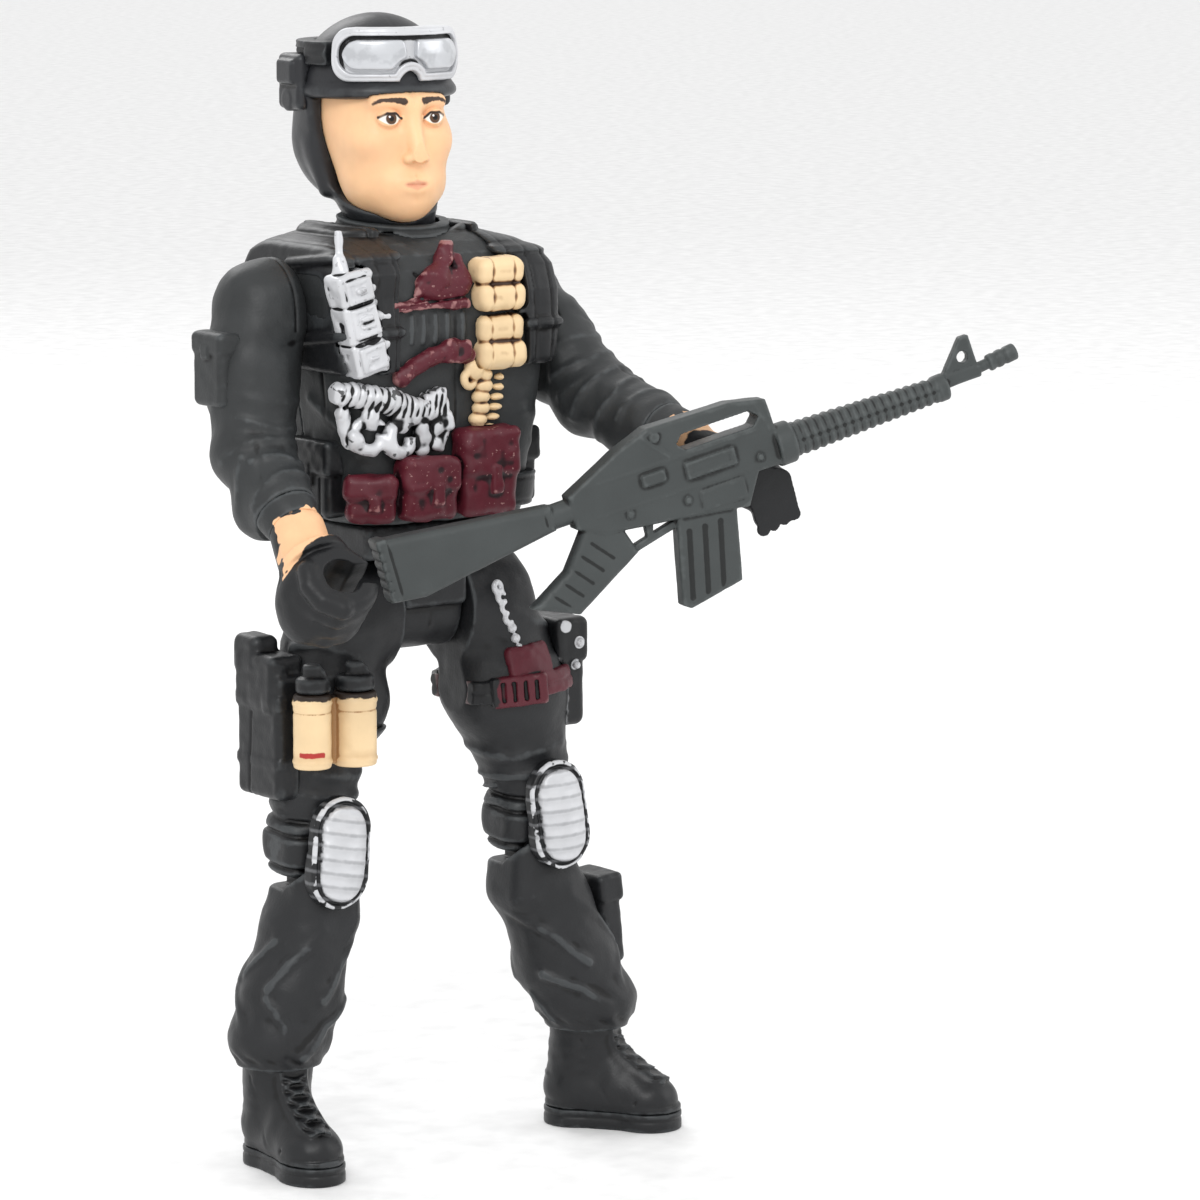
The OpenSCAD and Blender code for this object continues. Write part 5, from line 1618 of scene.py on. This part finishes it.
def boot_detail(side):
    def detail(p, d):
        q = in_boot(p, side)
        m = mirror(q)
        flat = [q[0], 0 * q[1], q[2]]
        laced = d
        for i in range(5):
            z = 8.3 - 0.85 * i
            for side_x in (-1, 1):
                laced = bump_line(flat, laced, [(-0.95 * side_x, 0, z), (0.95 * side_x, 0, z - 0.6)], 0.17,
                                  0.26)
        laced = bump_line([np.abs(q[0]), 0 * q[1], q[2]], laced, [(1.25, 0, 8.7), (1.3, 0, 4.6)], 0.2, 0.2)
        d = np.where(q[1] < -1, laced, d)
        d = bump_line(m, d, [(0, -6.3, 4.5), (1.4, -6.0, 4.0), (2.7, -5.2, 2.6)], 0.16, -0.16)
        d = bump_line(m, d, [(3.0, -0.4, 8.2), (2.7, -1.4, 5.0), (2.8, -2.8, 2.6)], 0.14, -0.13)
        d = bump_line(m, d, [(2.6, 1.2, 4.4), (1.6, 3.2, 4.6), (0, 3.8, 4.6)], 0.16, 0.14)
        for z in (7.6, 6.5, 5.4):
            d = bump_line(m, d, [(2.9, -0.6, z), (2.0, 2.4, z - 0.3), (0, 3.5, z - 0.3)], 0.4, 0.1)
        return d + 0.05 * noise(q, 1.0, 68)
    return detail


def sole_outline(q, g=0.0):
    heel = length(q[0], q[1] - 1.25) - (2.6 + g)
    toe = length(q[0], q[1] + 5.75) - (2.8 + g)
    waist = np.maximum(np.abs(q[0]) - (2.35 + g), np.abs(q[1] + 2.2) - 3.5)
    return join(heel, toe, waist, k=0.6)


def sole_field(side):
    def field(p):
        q = in_boot(p, side)
        d = meet(sole_outline(q), np.abs(q[2] - SOLE / 2) - SOLE / 2, k=0.15)
        off_hole = PEG_R + 0.7 - length(q[0], q[1] + PEG_FWD)
        cleats = np.maximum(np.abs(np.mod(q[1] + 0.35, 1.3) - 0.65) - 0.2,
                            np.maximum(q[2] - 0.35, sole_outline(q, -0.5)))
        d = cut(d, np.maximum(cleats, off_hole))
        d = d + 0.1 * bell(q[2] - 1.0, 0.12)
        return cut(d, peg_hole(q))
    return field


pad = pad_finish()
# Boots: a painted highlight (sheen) on the ridges and painted shade in the creases
boot = Finish("boot", linear(25, 26, 28), 0.4, grain=0.25).edges(GREY_SHEEN, share=0.35).grooves(DEEP).done()
for side in ("right", "left"):
    sculpt(f"{side}_calf", calf_field(side), trousers, detail=calf_detail(side))
    sculpt(f"{side}_knee_pad", pad_field(side), pad, voxel=0.1, detail=pad_detail(side),
           paint=pad_paint(side))
    sculpt(f"{side}_boot", boot_field(side), boot, voxel=0.12, detail=boot_detail(side))
    sculpt(f"{side}_sole", sole_field(side), boot, voxel=0.12)
sculpt("calf_pouch", calf_pouch_field, trousers, voxel=0.12, detail=fine_noise(67))

# ---- rifle ----

STOCK = [(0, 2.7), (15.4, 0.7), (15.4, -1.5), (3, -3.2), (0, -2.8)]
RECEIVER = [(17, 0.9), (22, 3.2), (25.2, 4.3), (32.8, 4.1), (36, 3.4), (36.2, 0.8), (36.6, -2.4),
            (33.8, -2.4), (32.2, -5),
            (25.6, -4), (19.4, -3.2), (17, -2)]
PISTOL_GRIP = [(17.8, -2), (21, -3.2), (21.8, -5.6), (15.4, -9.1), (11.4, -7.3), (15.2, -5.2)]
MAGAZINE = [(25.8, -3.6), (24.2, -11.3), (24.9, -11.8), (29.9, -10.9), (31.2, -4.4)]


def rifle_field(p):
    q = local(p, BUTT, RIFLE_AXES)
    d = slab(q, STOCK, 2.6, 0.7)
    d = join(d, block(q, (0.45, 0, 0), (0.5, 1.35, 2.7), 0.25),
             rod(q, (15.0, 0, -0.45), (17.6, 0, -0.45), 1.1, 0.2), k=0.15)
    d = join(d, slab(q, RECEIVER, 2.3, 0.35), slab(q, PISTOL_GRIP, 2.0, 0.6), k=0.2)
    d = join(d, slab(q, [(21.4, -5.7), (25.8, -4.7), (25.8, -4), (21.6, -5)], 1.0, 0.15),
             slab(q, [(23, -3.4), (23.8, -3.5), (23.4, -4.9), (22.9, -5)], 0.9, 0.12),
             slab(q, MAGAZINE, 1.8, 0.3), k=0.1)
    d = join(d, rod(q, (35.9, 0, -0.95), (37.6, 0, -0.95), 1.85, 0.3), k=0.15)
    guard = length(q[1], q[2] + 0.95) - (1.5 - 0.0324 * (q[0] - 37.5))
    d = join(d, meet(guard, np.abs(q[0] - 44.4) - 7.0, k=0.3),
             rod(q, (51.2, 0, -0.95), (52.2, 0, -0.9), 1.2, 0.2), k=0.15)
    sight = slab(q, [(51.6, -0.5), (54.4, 2.8), (55.2, 2.8), (55.4, -0.3)], 0.9, 0.15)
    d = join(d, sight, rod(q, (51.2, 0, -0.8), (56.6, 0, -0.22), 0.5, 0.1),
             block(q, (53.6, 0, -0.5), (1.9, 0.6, 0.55), 0.2), k=0.15)
    d = join(d, rod(q, (56.4, 0, -0.25), (59.1, 0, 0.03), 0.75, 0.15), k=0.1)
    d = cut(d, slab(q, [(28.0, 2.9), (34.3, 2.9), (35.0, 2.2), (34.3, 1.5), (28.0, 1.5), (27.3, 2.2)], 8,
                    0.1))
    return cut(d, rod(q, (54.2, -4, 1.1), (54.2, 4, 1.1), 0.5, 0.02),
               rod(q, (58.2, 0, -0.06), (60, 0, 0.12), 0.32, 0.02))


def rifle_detail(p, d):
    q = local(p, BUTT, RIFLE_AXES)
    flat = [q[0], np.abs(q[1]), q[2]]
    raised = [((19.6, 1.1), (34.5, 1.1), 0.12, 0.12), ((19.0, -1.6), (33.4, -1.9), 0.12, 0.1),
              ((24.6, 3.5), (26.4, 1.4), 0.18, 0.16),
              ((35.0, 3.0), (35.6, 0.8), 0.18, 0.14)]
    for (x0, z0), (x1, z1), width, height in raised:
        d = bump_line(flat, d, [(x0, 1.15, z0), (x1, 1.15, z1)], width, height)
    d = join(d, block(flat, (29.8, 1.1, -0.3), (2.3, 0.28, 0.75), 0.12),
             block(flat, (24.6, 1.1, 0.1), (1.1, 0.35, 0.55), 0.25),
             block(flat, (30.2, 1.05, -3.2), (2.0, 0.25, 0.9), 0.15), k=0.1)
    d = cut(d, block(flat, (29.8, 1.45, -0.3), (1.9, 0.16, 0.42), 0.05))
    for x, z, r in ((21.8, -2.2, 0.32), (34.2, -1.2, 0.3), (27.0, -2.7, 0.3), (25.6, 3.4, 0.45)):
        d = join(d, rod(flat, (x, 0.6, z), (x, 1.36, z), r, 0.08), k=0.06)
    for i in range(3):  # magazine grooves
        x = 25.9 + 1.45 * i
        d = bump_line(flat, d, [(x + 0.55, 0.9, -5.4), (x - 0.7, 0.9, -10.9)], 0.24, -0.26)
    for i in range(5):  # grip ribs
        x, z = 14.0 + 1.15 * i, -7.4 + 0.75 * i
        d = bump_line(flat, d, [(x - 0.7, 1.0, z + 0.9), (x + 0.8, 1.0, z - 0.9)], 0.14, -0.12)
    guard = (q[0] > 37.9) & (q[0] < 51.2)
    d = d + guard * 0.08 * np.cos(q[0] * 2 * math.pi / 0.78) * (np.abs(q[2] + 0.95) < 2)
    d = d + guard * 0.12 * bell(q[2] + 0.95, 0.12)
    d = bump_line(flat, d, [(0.9, 1.3, 2.3), (0.9, 1.3, -2.7)], 0.12, -0.12)
    for z in (1.7, 0.85, 0.0, -0.85, -1.7):
        d = d + 0.12 * bell(q[2] - z, 0.13) * (q[0] < 0.4)
    d = bump_line(flat, d, [(14.6, 1.3, 1.0), (14.6, 1.3, -1.7)], 0.14, -0.12)
    for x in (57.1, 57.9):
        d = d + 0.12 * bell(q[0] - x, 0.14) * (q[0] > 56.5)
    return d + 0.02 * noise(q, 1.2, 71)


sculpt("rifle", rifle_field, gunmetal, voxel=0.12, detail=rifle_detail)
build_all()

# ---- hidden hardware keeps its CAD shape ----

for node in ("torso_screw", "right_shoulder_peg", "left_shoulder_peg", "hip_pin", "right_knee_pin",
             "left_knee_pin"):
    frame["nodes"][node].data.materials.clear()
    frame["nodes"][node].data.materials.append(steel)
for node in ("neck_post", "waist_post"):
    frame["nodes"][node].data.materials.clear()
    frame["nodes"][node].data.materials.append(gear)

# ---- studio ----

world = bpy.data.worlds.new("studio")
bpy.context.scene.world = world
world.use_nodes = True
world.node_tree.nodes["Background"].inputs["Color"].default_value = (1, 1, 1, 1)
world.node_tree.nodes["Background"].inputs["Strength"].default_value = 1.0

floor_mesh = bpy.data.meshes.new("floor")
floor_mesh.from_pydata([(-3, -3, 0), (3, -3, 0), (3, 3, 0), (-3, 3, 0)], [], [(0, 1, 2, 3)])
floor = bpy.data.objects.new("floor", floor_mesh)
bpy.context.scene.collection.objects.link(floor)
floor_mesh.materials.append(Finish("floor", linear(246, 246, 246), 0.8, grain=0.0).done())

TARGET = Vector((0.02849, -0.00552, 0.0477))
AZIMUTH, ELEVATION, DISTANCE = math.radians(-35.52), math.radians(8.56), 0.48


def aim(obj, at):
    obj.rotation_euler = (Vector(at) - obj.location).to_track_quat("-Z", "Y").to_euler()


def lamp(name, at, size, power, shape="DISK"):
    light = bpy.data.lights.new(name, "AREA")
    light.shape, light.size, light.energy = shape, size, power
    obj = bpy.data.objects.new(name, light)
    obj.location = at
    bpy.context.scene.collection.objects.link(obj)
    aim(obj, TARGET)


lamp("key", (-0.35, -0.45, 0.5), 0.3, 2.0)
lamp("fill", (0.55, -0.35, 0.3), 0.4, 0.6)
lamp("back", (0.1, 0.5, 0.45), 0.35, 1.0)

camera = bpy.data.objects.new("camera", bpy.data.cameras.new("camera"))
bpy.context.scene.collection.objects.link(camera)
back = Vector((math.sin(AZIMUTH) * math.cos(ELEVATION), -math.cos(AZIMUTH) * math.cos(ELEVATION),
               math.sin(ELEVATION)))
camera.location = TARGET + back * DISTANCE
camera.data.lens, camera.data.sensor_width = 166.07, 36
camera.data.clip_start = 0.01
aim(camera, TARGET)
bpy.context.scene.camera = camera
bpy.context.scene.view_settings.view_transform = "Standard"
